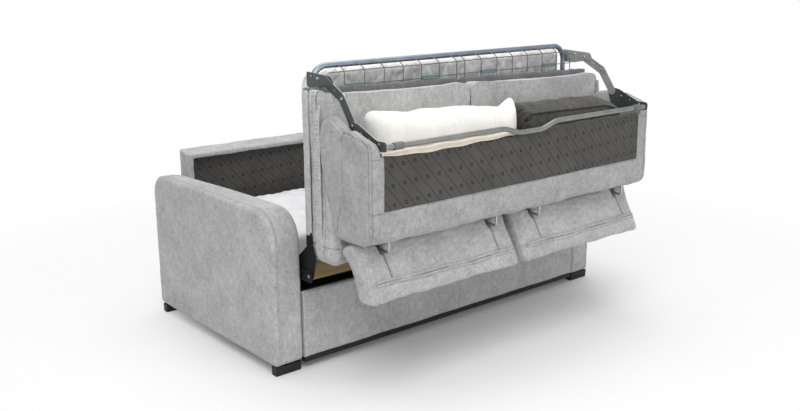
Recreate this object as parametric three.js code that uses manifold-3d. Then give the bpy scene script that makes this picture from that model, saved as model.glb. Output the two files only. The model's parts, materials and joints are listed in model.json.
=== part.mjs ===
// Sleeper sofa with a pull-out bed, shown half opened: the seat stands upright,
// the backrest is folded onto it and the bed frame rises behind the seat.
// Millimetres, +Z up, +X to the sitter's left, +Y to the rear.
import * as THREE from 'three';
import { mergeVertices } from 'three/addons/utils/BufferGeometryUtils.js';
import Module from 'manifold-3d';

const wasm = await Module();
wasm.setup();

// Driving dimensions: the whole sofa
const overallWidth = 2020;
const overallDepth = 1047;
const armWidth = 142;
const armHeight = 697;
const footHeight = 41;
const seatGap = 0.3; // clearance between pieces that touch
const fabricGap = 2; // clearance beside soft pieces
const cutOver = 5; // overrun of every cut

// Arms
const armFrontRound = 128;
const armRearRound = 95;
const armBottomRound = 22;
const armEdge = 19;
const footWidth = 124;
const footDepth = 40;
const footInset = 6;
const footTaper = 3;

// Front rail, rear panel and floor of the base
const railTop = 343;
const railBottom = 50;
const railThickness = 24;
const railEdge = 9;
const skirtHeight = 20;
const skirtThickness = 22;
const panelThickness = 90;
const panelFrontTop = 765;
const panelRearTop = 812;
const panelEdge = 12;
const panelFootRound = 15;
const panelRound = 26;
const panelInset = 7; // rear face of the panel, in from the arms' rear faces
const recessBorder = 53;
const recessDepth = 45;
const liningThickness = 4;
const boardThickness = 5;

// Steel plates that lie side by side in the gap between arm and seat
const plateThickness = 3;
const plateRound = 18;
const pinRadius = 8;
const pinClearance = 0.4;
const boltHeadRadius = 9;
const boltHeadHeight = 2.5;

// Tilt pivot of the seat, from the arms' front plane and the floor
const tiltY = -50;
const tiltZ = 426;
const torqueTubeRadius = 12.5;
const torqueTubeAhead = 55; // behind the pivot
const torqueTubeAbove = 40;
const crossBarRadius = 9;
const crossBarDrop = 13; // axis below the rail's top

// Seat
const seatBottom = 475;
const deckTop = 1180;
const deckRear = -32;
const deckThickness = 13;
const frontBoardHeight = 70;
const cushionThickness = 164; // below the pressed line
const cushionTop = 1164;
const cushionCrown = 4;
const cushionRound = 42;
const cushionGap = 5;
const cushionDraw = 7;
const seamShare = -2 / 3; // cross seam, below the middle, in half heights

// Line where seat and backrest press on each other, seen from the side
const pressHigh = -118; // the backrest pushes the seat in to here above pressTop
const pressLow = -215; // and leaves it thick below pressFoot
const pressTop = 1000;
const pressFoot = 560;
const pressGap = 5;

// Bed frame that stands behind the seat
const bedTubeRadius = 13;
const bedInset = 88.8; // the loop's axis, in from the seat's sides
const bedTubeY = 30;
const bedTubeAbove = 88; // upper tube's axis, above the deck's top
const bedBottomZ = 600;
const bedCornerRadius = 72;
const wireSize = 4;
const wirePitchZ = 60;
const wirePitchLow = 102; // rows below the second one
const wireTopDrop = 8; // first wire below the tube's axis
const wireRows = 7;
const wireColumnsPerSide = 7;
const wireCentreGap = 50;
const sleeveLength = 80;
const sleeveHeight = 28;
const sleeveThickness = 12;

// Mattress
const mattressThickness = 112;
const mattressInset = 3; // sides, in from the loop's axis
const mattressEdge = 26;
const quiltDepth = 5;
const upperMattressBottom = 512;
const mattressDrop = 18; // below the loop's upper axis
const headLead = 208; // front end, ahead of the stub axles
const headMattressGap = 20; // to the rear panel
const headMattressTop = 515;

// Rising head section of the bed and its links
const liftPivotAhead = 200; // ahead of the rear panel
const liftPivotZ = 225;
const liftRise = 160; // half of the height that the section climbs
const liftLength = 340;
const liftBarWidth = 30;
const headTubeRadius = 12;
const stubRadius = 7;
const headWireRows = 5;
const headWireColumns = 8;

// Backrest linkage
const kneeY = -200;
const kneeZ = 1163;
const elbowY = -268;
const elbowZ = 1068;
const linkThickness = 3;
const linkWidth = 40;
const bracketDrop = 18; // below the loop's upper axis
const bracketHeight = 62;
const bracketFront = -128;
const rivetRadius = 5.5;
const rivetHeight = 2;
const jointPinRadius = 7;
const rivetAhead = 40; // ahead of the loop's axis
const rivetPitch = 33;
const rivetDrop = 18; // below the bracket's top
const rivetFall = 5;

// Backrest, opened side up
const backInset = 0.8; // sides, in from the seat's sides
const backRear = -435;
const backBottom = 622;
const backSideTop = 1058;
const backRearTop = 974;
const backFrontTop = 930;
const backRearWall = 32;
const pocketFront = -207;
const pocketFloor = 770;
const backEdge = 20;
const backRound = 58;
const backFrontSteps = 9;
const backLiningBottom = 757;
const backLiningInset = 15.5; // sides, in from the pocket's sides
const backLiningThickness = 3;
const backTubeY = -460;
const backTubeZ = 1010;
const backTubeRadius = 11;
const backTubeDip = 27;
const backTubeDipHalf = 50;
const backTubeDipRun = 130;
const collarRadius = 15;
const collarLength = 46;
const collarFromEnd = 40;

// Pillow and bedding bag in the backrest's pocket
const beddingInset = 57.5; // both ends, in from the pocket's sides
const pillowShare = 0.11; // where the pillow ends, right of the middle
const pillowTop = 1122;
const bagTop = 1078;
const beddingCrown = 9;
const beddingCorner = 40;

// Headrests
const headrestAxisY = -300;
const headrestAxisZ = 590;
const headrestTopRound = 42;
const headrestFaceY = -455;
const headrestFaceZ = 386;
const headrestHeelY = -345;
const headrestHeelZ = 377;
const headrestNapeY = -238; // corner towards the seat, above the heel
const headrestRound = 30;
const headrestEdge = 18;
const headrestGap = 6;
const headrestInset = 5.8; // outer ends, in from the seat's sides
const hangerRodRadius = 4;
const hangerY = -374;
const hangerFootZ = 600;
const hangerBend = 12;
const hangerFromEnd = 124; // outer hangers, in from the headrests' ends
const hangerInner = 136;
const hangerSlot = 14;

// Worked out from the sizes above
const halfWidth = overallWidth / 2;
const armInner = halfWidth - armWidth;
const basePlateX = armInner - seatGap;
const tiltPlateX = basePlateX - plateThickness - seatGap;
const seatPlateX = tiltPlateX - plateThickness - seatGap;
const seatHalfWidth = seatPlateX - plateThickness - seatGap;
const railHalfWidth = tiltPlateX;
const panelBottom = footHeight + boardThickness + seatGap;
const panelRear = overallDepth - panelInset;
const panelFront = panelRear - panelThickness;
const bedHalfWidth = seatHalfWidth - bedInset;
const bedTopZ = deckTop + bedTubeAbove;
const upperMattressTop = bedTopZ - mattressDrop;
const bracketTop = bedTopZ - bracketDrop;
const bracketBottom = bracketTop - bracketHeight;
const wireY = deckRear + seatGap + wireSize / 2;
const wireReach = bedHalfWidth - bedTubeRadius - seatGap - wireSize / 2;
const wirePitchX = (wireReach - wireCentreGap / 2) / wireColumnsPerSide;
const mattressHalfWidth = bedHalfWidth - mattressInset;
const headMattressRear = panelFront - headMattressGap;
const liftPivotY = panelFront - liftPivotAhead;
const liftReach = Math.sqrt(liftLength ** 2 - liftRise ** 2);
const stubY = liftPivotY - liftReach;
const headMattressFront = stubY - headLead;
const bracketX = bedHalfWidth + bedTubeRadius + seatGap;
const linkPitchX = linkThickness + seatGap;
const pocketHalf = bracketX + linkPitchX * 4;
const backHalfWidth = seatHalfWidth - backInset;
const backLiningHalfWidth = pocketHalf - backLiningInset;
const headrestHalfWidth = seatHalfWidth - headrestInset;
const hangerOuter = headrestHalfWidth - hangerFromEnd;
const headFrameZ = liftPivotZ + liftRise;
const frontmostY = backTubeY - collarRadius;

// Colours and finishes
function finish(color, roughness, metalness) {
  return new THREE.MeshStandardMaterial({ color, roughness, metalness });
}
const greyFabric = finish(0xa9aaab, 0.95, 0);
const darkLining = finish(0x4b4c4a, 0.9, 0);
const blackSteel = finish(0x17191a, 0.45, 0.6);
const greySteel = finish(0x5b5f60, 0.4, 0.7);
const brightSteel = finish(0xb9bcbd, 0.28, 0.95);
const whiteTicking = finish(0xe8e7e6, 0.85, 0);
const quiltTicking = finish(0xc9c9c8, 0.6, 0);
const pillowCotton = finish(0xf3f1ec, 0.9, 0);
const tealPlastic = finish(0x5f7f7d, 0.5, 0);
const greyPlastic = finish(0x8b8e8d, 0.55, 0);
const darkWood = finish(0x2c2421, 0.6, 0);
const paleWood = finish(0xb59b66, 0.7, 0);

const sofa = new THREE.Group();

// Solids: a closed geometry becomes a manifold, and a manifold becomes a geometry
function toSolid(geometry) {
  const bare = geometry.clone();
  bare.deleteAttribute('normal');
  bare.deleteAttribute('uv');
  const merged = mergeVertices(bare, 1e-3);
  const vertProperties = new Float32Array(merged.attributes.position.array);
  const triVerts = new Uint32Array(merged.index.array);
  return new wasm.Manifold(new wasm.Mesh({ numProp: 3, vertProperties, triVerts }));
}

function toGeometry(solid) {
  const mesh = solid.getMesh();
  const geometry = new THREE.BufferGeometry();
  geometry.setAttribute('position', new THREE.BufferAttribute(new Float32Array(mesh.vertProperties), 3));
  geometry.setIndex(new THREE.BufferAttribute(new Uint32Array(mesh.triVerts), 1));
  geometry.computeVertexNormals();
  return geometry;
}

function put(name, shape, material) {
  const geometry = shape.isBufferGeometry ? shape : toGeometry(shape);
  const mesh = new THREE.Mesh(geometry, material);
  mesh.name = name;
  sofa.add(mesh);
  return mesh;
}

// A box from its lowest and highest corners
function boxBetween(x0, y0, z0, x1, y1, z1) {
  const geometry = new THREE.BoxGeometry(x1 - x0, y1 - y0, z1 - z0);
  return geometry.translate((x0 + x1) / 2, (y0 + y1) / 2, (z0 + z1) / 2);
}

// A cylinder along X between x0 and x1, about the axis (y, z)
function rodAlongX(x0, x1, y, z, radius, sides = 24) {
  const geometry = new THREE.CylinderGeometry(radius, radius, Math.abs(x1 - x0), sides);
  return geometry.rotateZ(Math.PI / 2).translate((x0 + x1) / 2, y, z);
}

// An outline in the YZ plane whose corners [y, z, radius] are rounded by arcs
function roundedOutline(corners, arcSteps = 6) {
  const points = [];
  corners.forEach(([y, z, radius], index) => {
    const here = new THREE.Vector2(y, z);
    if (radius === 0) {
      points.push(here);
      return;
    }
    const before = corners[(index + corners.length - 1) % corners.length];
    const after = corners[(index + 1) % corners.length];
    const toBefore = new THREE.Vector2(before[0], before[1]).sub(here).normalize();
    const toAfter = new THREE.Vector2(after[0], after[1]).sub(here).normalize();
    const half = Math.acos(THREE.MathUtils.clamp(toBefore.dot(toAfter), -1, 1)) / 2;
    const centre = toBefore.clone().add(toAfter).setLength(radius / Math.sin(half)).add(here);
    const start = toBefore.multiplyScalar(radius / Math.tan(half)).add(here).sub(centre);
    const end = toAfter.multiplyScalar(radius / Math.tan(half)).add(here).sub(centre);
    const turn = Math.atan2(start.cross(end), start.dot(end));
    for (let step = 0; step <= arcSteps; step += 1) {
      const arm = start.clone().rotateAround(new THREE.Vector2(), turn * step / arcSteps);
      points.push(arm.add(centre));
    }
  });
  return new THREE.Shape(points);
}

// A YZ outline carried along X from x0 to x1, with edges rounded by the given size
function alongX(shape, x0, x1, edge = 0, steps = 6, edgeSteps = 3) {
  const low = Math.min(x0, x1);
  const high = Math.max(x0, x1);
  const geometry = new THREE.ExtrudeGeometry(shape, {
    depth: high - low - 2 * edge,
    bevelEnabled: edge > 0,
    bevelThickness: edge,
    bevelSize: edge,
    bevelOffset: -edge,
    bevelSegments: edgeSteps,
    curveSegments: steps,
  });
  const turn = new THREE.Matrix4().makeBasis(
    new THREE.Vector3(0, 1, 0), new THREE.Vector3(0, 0, 1), new THREE.Vector3(1, 0, 0));
  return geometry.applyMatrix4(turn).translate(low + edge, 0, 0);
}

// A round bar along a path of points, as one closed tube
function barAlong(points, radius, sides, steps, closed = false, tension = 0.5) {
  const path = new THREE.CatmullRomCurve3(points, closed, 'catmullrom', tension);
  const section = new THREE.Shape();
  section.absarc(0, 0, radius, 0, Math.PI * 2, false);
  return new THREE.ExtrudeGeometry(section, { steps, extrudePath: path, curveSegments: sides / 2 });
}

// A closed rectangular loop of round tube, from its centreline's outline and corner arcs
function tubeLoop(halfX, low, high, cornerRadius, tubeRadius, sides, cornerSteps) {
  const outline = [];
  const corners = [[halfX, high, 0], [-halfX, high, 1], [-halfX, low, 2], [halfX, low, 3]];
  corners.forEach(([u, v, quarter]) => {
    const cu = u - Math.sign(u) * cornerRadius;
    const cv = v + (quarter < 2 ? -cornerRadius : cornerRadius);
    for (let step = 0; step <= cornerSteps; step += 1) {
      const angle = (quarter + step / cornerSteps) * Math.PI / 2;
      outline.push([cu + cornerRadius * Math.cos(angle), cv + cornerRadius * Math.sin(angle), angle]);
    }
  });
  const rings = outline.length;
  const positions = [];
  const index = [];
  outline.forEach(([u, v, angle]) => {
    for (let side = 0; side < sides; side += 1) {
      const turn = side / sides * Math.PI * 2;
      const out = tubeRadius * Math.cos(turn);
      positions.push(u + out * Math.cos(angle), tubeRadius * Math.sin(turn), v + out * Math.sin(angle));
    }
  });
  for (let ring = 0; ring < rings; ring += 1) {
    for (let side = 0; side < sides; side += 1) {
      const next = (side + 1) % sides;
      const a = ring * sides + side;
      const b = ring * sides + next;
      const c = ((ring + 1) % rings) * sides + side;
      const d = ((ring + 1) % rings) * sides + next;
      index.push(a, b, c, b, d, c);
    }
  }
  const geometry = new THREE.BufferGeometry();
  geometry.setAttribute('position', new THREE.Float32BufferAttribute(positions, 3));
  geometry.setIndex(index);
  return geometry;
}

// A stuffed block: rounded edges, a crown on its two large faces (local Z) and
// sides that pull in between the corners. Sizes are full widths. Channels are
// shares of the half height at which a seam pulls the upper face down.
function stuffedBlock({
  width, height, depth, round, crown, draw, cells, crownBack = crown, channels = [], channelDepth = 0,
}) {
  const [nx, ny, nz] = cells;
  const geometry = new THREE.BoxGeometry(width, height, depth, nx, ny, nz);
  const place = geometry.attributes.position;
  const point = new THREE.Vector3();
  const core = new THREE.Vector3(width / 2 - round, height / 2 - round, depth / 2 - round);
  for (let i = 0; i < place.count; i += 1) {
    point.fromBufferAttribute(place, i);
    const inner = point.clone().clamp(core.clone().negate(), core);
    const off = point.clone().sub(inner);
    if (off.lengthSq() > 0) off.setLength(round);
    const u = point.x / (width / 2);
    const v = point.y / (height / 2);
    const swell = (1 - u ** 4) * (1 - v ** 4);
    const step = 1 / ny;
    const onSeam = channels.some((seam) => Math.abs(v - seam) < step);
    const pull = onSeam && point.z > 0 ? channelDepth * (1 - u ** 8) : 0;
    point.copy(inner).add(off);
    point.z -= pull * Math.abs(point.z) / (depth / 2);
    point.x -= Math.sign(u) * draw * Math.abs(u) ** 3 * (1 - v ** 2);
    point.y -= Math.sign(v) * draw * Math.abs(v) ** 3 * (1 - u ** 2);
    point.z += (point.z > 0 ? crown : -crownBack) * swell * Math.abs(point.z) / (depth / 2);
    place.setXYZ(i, point.x, point.y, point.z);
  }
  return geometry;
}

// Evenly spaced values from one end to the other, both included
function spread(from, to, count) {
  return Array.from({ length: count + 1 }, (_, k) => from + (to - from) * k / count);
}

// Both sides of the sofa get the same piece, mirrored by its X range
function onBothSides(make) {
  make('left', -1);
  make('right', 1);
}

// Arms: a padded slab with a large front curve, on two dark wooden feet
const armOutline = roundedOutline([
  [0, footHeight, armBottomRound],
  [overallDepth, footHeight, armBottomRound],
  [overallDepth, armHeight, armRearRound],
  [0, armHeight, armFrontRound],
]);

function footGeometry(x0, x1, y0) {
  const shape = new THREE.Shape();
  shape.moveTo(y0 + footTaper, 0);
  shape.lineTo(y0 + footDepth - footTaper, 0);
  shape.lineTo(y0 + footDepth, footHeight - seatGap);
  shape.lineTo(y0, footHeight - seatGap);
  shape.closePath();
  return alongX(shape, x0, x1);
}

onBothSides((side, sign) => {
  put(`${side}_arm`, alongX(armOutline, sign * armInner, sign * halfWidth, armEdge, 8, 3), greyFabric);
  const footOuter = sign * (halfWidth - footInset);
  const footInner = sign * (halfWidth - footInset - footWidth);
  put(`foot_front_${side}`, footGeometry(footInner, footOuter, footInset), darkWood);
  put(`foot_rear_${side}`, footGeometry(footInner, footOuter, overallDepth - footInset - footDepth), darkWood);
});

// Front rail with the dark skirt under it, and the floor board behind
const railOutline = roundedOutline([
  [0, railBottom, railEdge],
  [railThickness, railBottom, railEdge],
  [railThickness, railTop, railEdge],
  [0, railTop, railEdge],
]);
put('front_rail', alongX(railOutline, -railHalfWidth, railHalfWidth), greyFabric);
put('front_skirt', boxBetween(
  -railHalfWidth, seatGap, railBottom - seatGap - skirtHeight,
  railHalfWidth, skirtThickness, railBottom - seatGap), darkWood);
put('base_board', boxBetween(
  -basePlateX, skirtThickness + seatGap, footHeight,
  basePlateX, panelRear, footHeight + boardThickness), darkLining);

// Rear panel: sloping top, and a recess that a dark lining closes
const panelOutline = roundedOutline([
  [panelFront, panelBottom, panelFootRound],
  [panelRear, panelBottom, panelFootRound],
  [panelRear, panelRearTop, panelRound],
  [panelFront, panelFrontTop, panelRound],
]);
const recessHalfWidth = basePlateX - recessBorder;
const recessTop = panelFrontTop - recessBorder;
const recessBottom = panelBottom + recessBorder / 2;
const panelBlank = toSolid(alongX(panelOutline, -basePlateX, basePlateX, panelEdge, 4, 2));
const recessCut = toSolid(boxBetween(
  -recessHalfWidth, panelFront - cutOver, recessBottom,
  recessHalfWidth, panelFront + recessDepth, recessTop));
put('rear_panel', panelBlank.subtract(recessCut), greyFabric);
put('rear_lining', boxBetween(
  -recessHalfWidth + seatGap, panelFront + recessDepth - seatGap - liningThickness, recessBottom + seatGap,
  recessHalfWidth - seatGap, panelFront + recessDepth - seatGap, recessTop - seatGap), darkLining);

// A plate in the YZ plane with round holes, from its corners and holes [y, z, radius]
function plateWithHoles(corners, holes, x0, x1) {
  const outline = roundedOutline(corners);
  holes.forEach(([y, z, radius]) => {
    const hole = new THREE.Path();
    hole.absarc(y, z, radius, 0, Math.PI * 2, true);
    outline.holes.push(hole);
  });
  return alongX(outline, x0, x1, 0, 9);
}

// A bar in the YZ plane with round ends about two points
function linkOutline(y0, z0, y1, z1, width) {
  const angle = Math.atan2(z1 - z0, y1 - y0);
  const radius = width / 2;
  const shape = new THREE.Shape();
  shape.absarc(y0, z0, radius, angle + Math.PI / 2, angle + Math.PI * 3 / 2, false);
  shape.absarc(y1, z1, radius, angle - Math.PI / 2, angle + Math.PI / 2, false);
  shape.closePath();
  return shape;
}

function linkWithHoles(y0, z0, y1, z1, width, holes, x0, x1) {
  const outline = linkOutline(y0, z0, y1, z1, width);
  holes.forEach(([y, z, radius]) => {
    const hole = new THREE.Path();
    hole.absarc(y, z, radius, 0, Math.PI * 2, true);
    outline.holes.push(hole);
  });
  return alongX(outline, x0, x1, 0, 9);
}

// Side plates of the tilt: one on the arm, one that tilts and one on the seat
const pinHole = pinRadius + pinClearance;
const nose = pinRadius + plateRound;
const basePlateCorners = [
  [tiltY - nose, tiltZ - nose, plateRound],
  [railThickness + nose, tiltZ - nose, plateRound],
  [railThickness + nose, liftPivotZ - nose, plateRound],
  [liftPivotY + nose * 2, liftPivotZ - nose, plateRound],
  [liftPivotY + nose * 2, liftPivotZ + nose, plateRound],
  [railThickness + torqueTubeAhead * 2, tiltZ + nose, plateRound],
  [tiltY - nose, tiltZ + nose, plateRound],
];
const tiltArmCorners = [
  [tiltY - nose, tiltZ - nose / 2, plateRound],
  [tiltY + torqueTubeAhead + pinRadius, tiltZ - nose / 2, plateRound],
  [tiltY + torqueTubeAhead + nose, tiltZ + torqueTubeAbove + nose, plateRound],
  [tiltY - nose, tiltZ + torqueTubeAbove * 4, plateRound],
  [tiltY - nose * 2, tiltZ + torqueTubeAbove * 2, plateRound],
];
const seatPlateCorners = [
  [tiltY - pinRadius - nose / 2, tiltZ - nose / 2, plateRound / 2],
  [deckRear, tiltZ - nose / 2, plateRound / 2],
  [deckRear, seatBottom + frontBoardHeight * 2, plateRound / 2],
  [tiltY - pinRadius - nose / 2, seatBottom + frontBoardHeight * 2, plateRound / 2],
];
onBothSides((side, sign) => {
  const tiltHole = [[tiltY, tiltZ, pinHole]];
  put(`base_plate_${side}`, plateWithHoles(basePlateCorners, [
    [tiltY, tiltZ, pinHole],
  ], sign * basePlateX, sign * (basePlateX - plateThickness)), blackSteel);
  put(`tilt_arm_${side}`, plateWithHoles(
    tiltArmCorners, tiltHole, sign * tiltPlateX, sign * (tiltPlateX - plateThickness)), blackSteel);
  put(`seat_plate_${side}`, plateWithHoles(
    seatPlateCorners, tiltHole, sign * seatPlateX, sign * (seatPlateX - plateThickness)), blackSteel);
  put(`tilt_pin_${side}`, rodAlongX(
    sign * basePlateX, sign * (seatPlateX - plateThickness), tiltY, tiltZ, pinRadius), brightSteel);
  const liftPinEnd = tiltPlateX - plateThickness;
  const liftPin = toSolid(rodAlongX(
    sign * (basePlateX - plateThickness - seatGap), sign * (liftPinEnd - boltHeadHeight),
    liftPivotY, liftPivotZ, pinRadius));
  const liftPinHead = toSolid(rodAlongX(
    sign * (liftPinEnd - seatGap), sign * (liftPinEnd - seatGap - boltHeadHeight),
    liftPivotY, liftPivotZ, boltHeadRadius + plateThickness));
  put(`lift_pin_${side}`, liftPin.add(liftPinHead), brightSteel);
});
put('torque_tube', rodAlongX(
  -(tiltPlateX - plateThickness - seatGap), tiltPlateX - plateThickness - seatGap,
  tiltY + torqueTubeAhead, tiltZ + torqueTubeAbove, torqueTubeRadius), blackSteel);
put('base_cross_bar', rodAlongX(
  -railHalfWidth, railHalfWidth,
  railThickness + seatGap + crossBarRadius, railTop - crossBarDrop, crossBarRadius), blackSteel);

// The pressed line at a height, and a cushion squeezed up to it from behind
function pressLine(z) {
  return THREE.MathUtils.lerp(pressLow, pressHigh, THREE.MathUtils.smoothstep(z, pressFoot, pressTop));
}

function pressFace(geometry) {
  const place = geometry.attributes.position;
  const full = cushionRear - pressLow;
  for (let i = 0; i < place.count; i += 1) {
    const room = cushionRear - pressLine(place.getZ(i));
    const back = cushionRear - place.getY(i);
    place.setY(i, cushionRear - back * room / full);
  }
}

// Seat: a deck board with a wooden front board, and two cushions that stand on it
put('seat_deck', boxBetween(
  -seatHalfWidth, deckRear - deckThickness, seatBottom,
  seatHalfWidth, deckRear, deckTop), darkLining);
put('seat_front_board', boxBetween(
  -seatHalfWidth, deckRear - deckThickness, seatBottom - seatGap - frontBoardHeight,
  seatHalfWidth, deckRear, seatBottom - seatGap), paleWood);
const cushionRear = deckRear - deckThickness - seatGap;
const cushionWidth = seatHalfWidth - cushionGap / 2;
const cushionHeight = cushionTop - seatBottom;
onBothSides((side, sign) => {
  const form = stuffedBlock({
    width: cushionWidth,
    height: cushionHeight,
    depth: cushionThickness,
    round: cushionRound,
    crown: cushionCrown,
    crownBack: 0,
    draw: cushionDraw,
    cells: [9, 12, 3],
    channels: [seamShare],
    channelDepth: cushionDraw,
  });
  form.rotateX(Math.PI / 2);
  form.translate(
    sign * (cushionGap / 2 + cushionWidth / 2),
    cushionRear - cushionThickness / 2,
    seatBottom + cushionHeight / 2);
  pressFace(form);
  put(`seat_cushion_${side}`, form, greyFabric);
});

// Bed frame: one bent tube loop that carries a welded wire mesh in front of it
const bedLoop = tubeLoop(bedHalfWidth, bedBottomZ, bedTopZ, bedCornerRadius, bedTubeRadius, 10, 6);
put('bed_frame_loop', bedLoop.translate(0, bedTubeY, 0), greySteel);

// A flat lattice in the XZ plane: upright wires at the columns from low to high,
// and level wires at the rows that reach as far on both sides
function lattice(columns, rows, reach, low, high) {
  const half = wireSize / 2;
  const upright = columns.map((x) => toSolid(boxBetween(x - half, -half, low, x + half, half, high)));
  const level = rows.map((z) => toSolid(boxBetween(-reach, -half, z - half, reach, half, z + half)));
  return wasm.Manifold.union([...upright, ...level]);
}

const wireTopZ = bedTopZ - wireTopDrop;
const rightColumns = Array.from(
  { length: wireColumnsPerSide }, (_, k) => wireCentreGap / 2 + k * wirePitchX);
const wireColumns = [
  -wireReach, ...rightColumns.map((x) => -x).reverse(), ...rightColumns, wireReach];
const wireRowPlaces = Array.from(
  { length: wireRows },
  (_, k) => wireTopZ - Math.min(k, 1) * wirePitchZ - Math.max(k - 1, 0) * wirePitchLow).reverse();
let bedMesh = lattice(
  wireColumns, wireRowPlaces, wireReach + wireSize / 2,
  wireRowPlaces[0] - wireSize / 2, wireTopZ + wireSize / 2).translate([0, wireY, 0]);
const tubeFace = bedTubeY - bedTubeRadius - seatGap;
const tail = new THREE.Shape();
tail.moveTo(wireY - wireSize / 2, wireTopZ - wireSize / 2);
tail.lineTo(tubeFace, bedTopZ - wireSize / 2);
tail.lineTo(tubeFace, bedTopZ + wireSize / 2);
tail.lineTo(wireY - wireSize / 2, wireTopZ + wireSize / 2);
tail.closePath();
wireColumns.slice(1, -1).forEach((x) => {
  bedMesh = bedMesh.add(toSolid(alongX(tail, x - wireSize / 2, x + wireSize / 2)));
});
put('bed_mesh', bedMesh, greySteel);

// Four plastic sleeves on the mesh's second wire
const sleevePlaces = [-5.5, -1.5, 1.5, 5.5];
const sleeveNames = ['outer_left', 'inner_left', 'inner_right', 'outer_right'];
sleevePlaces.forEach((place, i) => {
  const centreX = place * wirePitchX + Math.sign(place) * wireCentreGap / 2;
  const centreZ = wireTopZ - wirePitchZ;
  const face = wireY - wireSize / 2 - seatGap;
  put(`mesh_sleeve_${sleeveNames[i]}`, boxBetween(
    centreX - sleeveLength / 2, face - sleeveThickness, centreZ - sleeveHeight / 2,
    centreX + sleeveLength / 2, face, centreZ + sleeveHeight / 2), tealPlastic);
});

// Mattress: the section behind the mesh and the section that lies in the base
const mattressFace = bedTubeY + bedTubeRadius + seatGap;
const upperLength = upperMattressTop - upperMattressBottom;
const upperMattress = stuffedBlock({
  width: mattressHalfWidth * 2,
  height: upperLength,
  depth: mattressThickness,
  round: mattressEdge,
  crown: 0,
  draw: fabricGap,
  cells: [9, 8, 3],
  channels: [-0.5, 0, 0.5],
  channelDepth: quiltDepth,
});
upperMattress.rotateX(Math.PI / 2);
upperMattress.translate(0, mattressFace + mattressThickness / 2, upperMattressBottom + upperLength / 2);
put('mattress_upper', upperMattress, quiltTicking);

const headLength = headMattressRear - headMattressFront;
const headThickness = headMattressTop - headFrameZ - headTubeRadius - seatGap;
const headMattress = stuffedBlock({
  width: mattressHalfWidth * 2,
  height: headLength,
  depth: headThickness,
  round: mattressEdge,
  crown: 0,
  draw: fabricGap,
  cells: [9, 8, 3],
  channels: [-0.5, 0, 0.5],
  channelDepth: quiltDepth,
});
headMattress.translate(0, headMattressFront + headLength / 2, headMattressTop - headThickness / 2);
put('mattress_head', headMattress, whiteTicking);

// Head section frame: a tube loop with a coarse mesh and a stub axle on each side
const headLoop = tubeLoop(
  bedHalfWidth, headMattressFront + headTubeRadius, headMattressRear - headTubeRadius,
  bedCornerRadius, headTubeRadius, 10, 5);
headLoop.rotateX(-Math.PI / 2);
headLoop.translate(0, 0, headFrameZ);
let headFrame = toSolid(headLoop);
[-1, 1].forEach((sign) => {
  headFrame = headFrame.add(toSolid(rodAlongX(
    sign * bedHalfWidth, sign * tiltPlateX, stubY, headFrameZ, stubRadius, 16)));
});
const inside = (values) => values.slice(1, -1);
const headLow = headMattressFront + headTubeRadius;
const headHigh = headMattressRear - headTubeRadius;
const headMesh = lattice(
  inside(spread(-bedHalfWidth, bedHalfWidth, headWireColumns)),
  inside(spread(headLow, headHigh, headWireRows)), bedHalfWidth, headLow, headHigh);
headFrame = headFrame.add(headMesh.rotate([-90, 0, 0]).translate(
  [0, 0, headFrameZ + headTubeRadius - wireSize / 2]));
put('head_frame', headFrame, greySteel);

// Lifting links between the base plates and the head section
onBothSides((side, sign) => {
  put(`lift_link_${side}`, linkWithHoles(
    liftPivotY, liftPivotZ, stubY, headFrameZ, liftBarWidth,
    [[liftPivotY, liftPivotZ, pinHole], [stubY, headFrameZ, stubRadius + pinClearance]],
    sign * tiltPlateX, sign * (tiltPlateX - plateThickness)), blackSteel);
});

// Backrest linkage: bracket on the bed frame, fixed upper link, swinging lower
// link and the arm that carries the backrest's tube
const rivetPlaces = [
  [bedTubeY - rivetAhead, bracketTop - rivetDrop],
  [bedTubeY - rivetAhead - rivetPitch, bracketTop - rivetDrop - rivetFall],
];
const bracketCorners = [
  [bedTubeY + bedTubeRadius, bracketBottom, plateRound / 2],
  [bedTubeY + bedTubeRadius, bracketTop, plateRound / 2],
  [bracketFront, bracketTop - plateRound / 2, plateRound],
  [bracketFront - plateRound, (bracketTop + bracketBottom) / 2 - plateRound / 2, plateRound / 2],
  [bedTubeY - bedTubeRadius * 5, bracketBottom, plateRound],
];
const upperLinkRoot = [bracketFront + linkWidth, bracketTop - linkWidth * 0.75];
const jointHole = jointPinRadius + pinClearance;
const armReachY = backTubeY + linkWidth;
const backArmCorners = [
  [elbowY + linkWidth / 2, elbowZ + linkWidth / 2, linkWidth * 0.45],
  [elbowY - linkWidth, elbowZ + linkWidth / 4, linkWidth / 2],
  [armReachY, backTubeZ + linkWidth / 2, linkWidth / 2],
  [backTubeY - collarRadius, backTubeZ + linkWidth / 2, collarRadius * 0.8],
  [backTubeY - collarRadius, backTubeZ - collarRadius, collarRadius * 0.8],
  [elbowY - linkWidth * 1.2, backTubeZ - linkWidth * 0.9, linkWidth / 3],
  [elbowY - linkWidth / 4, backTubeZ - linkWidth * 0.9, linkWidth / 3],
  [elbowY + linkWidth / 2, elbowZ - linkWidth / 2, linkWidth * 0.45],
];
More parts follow.
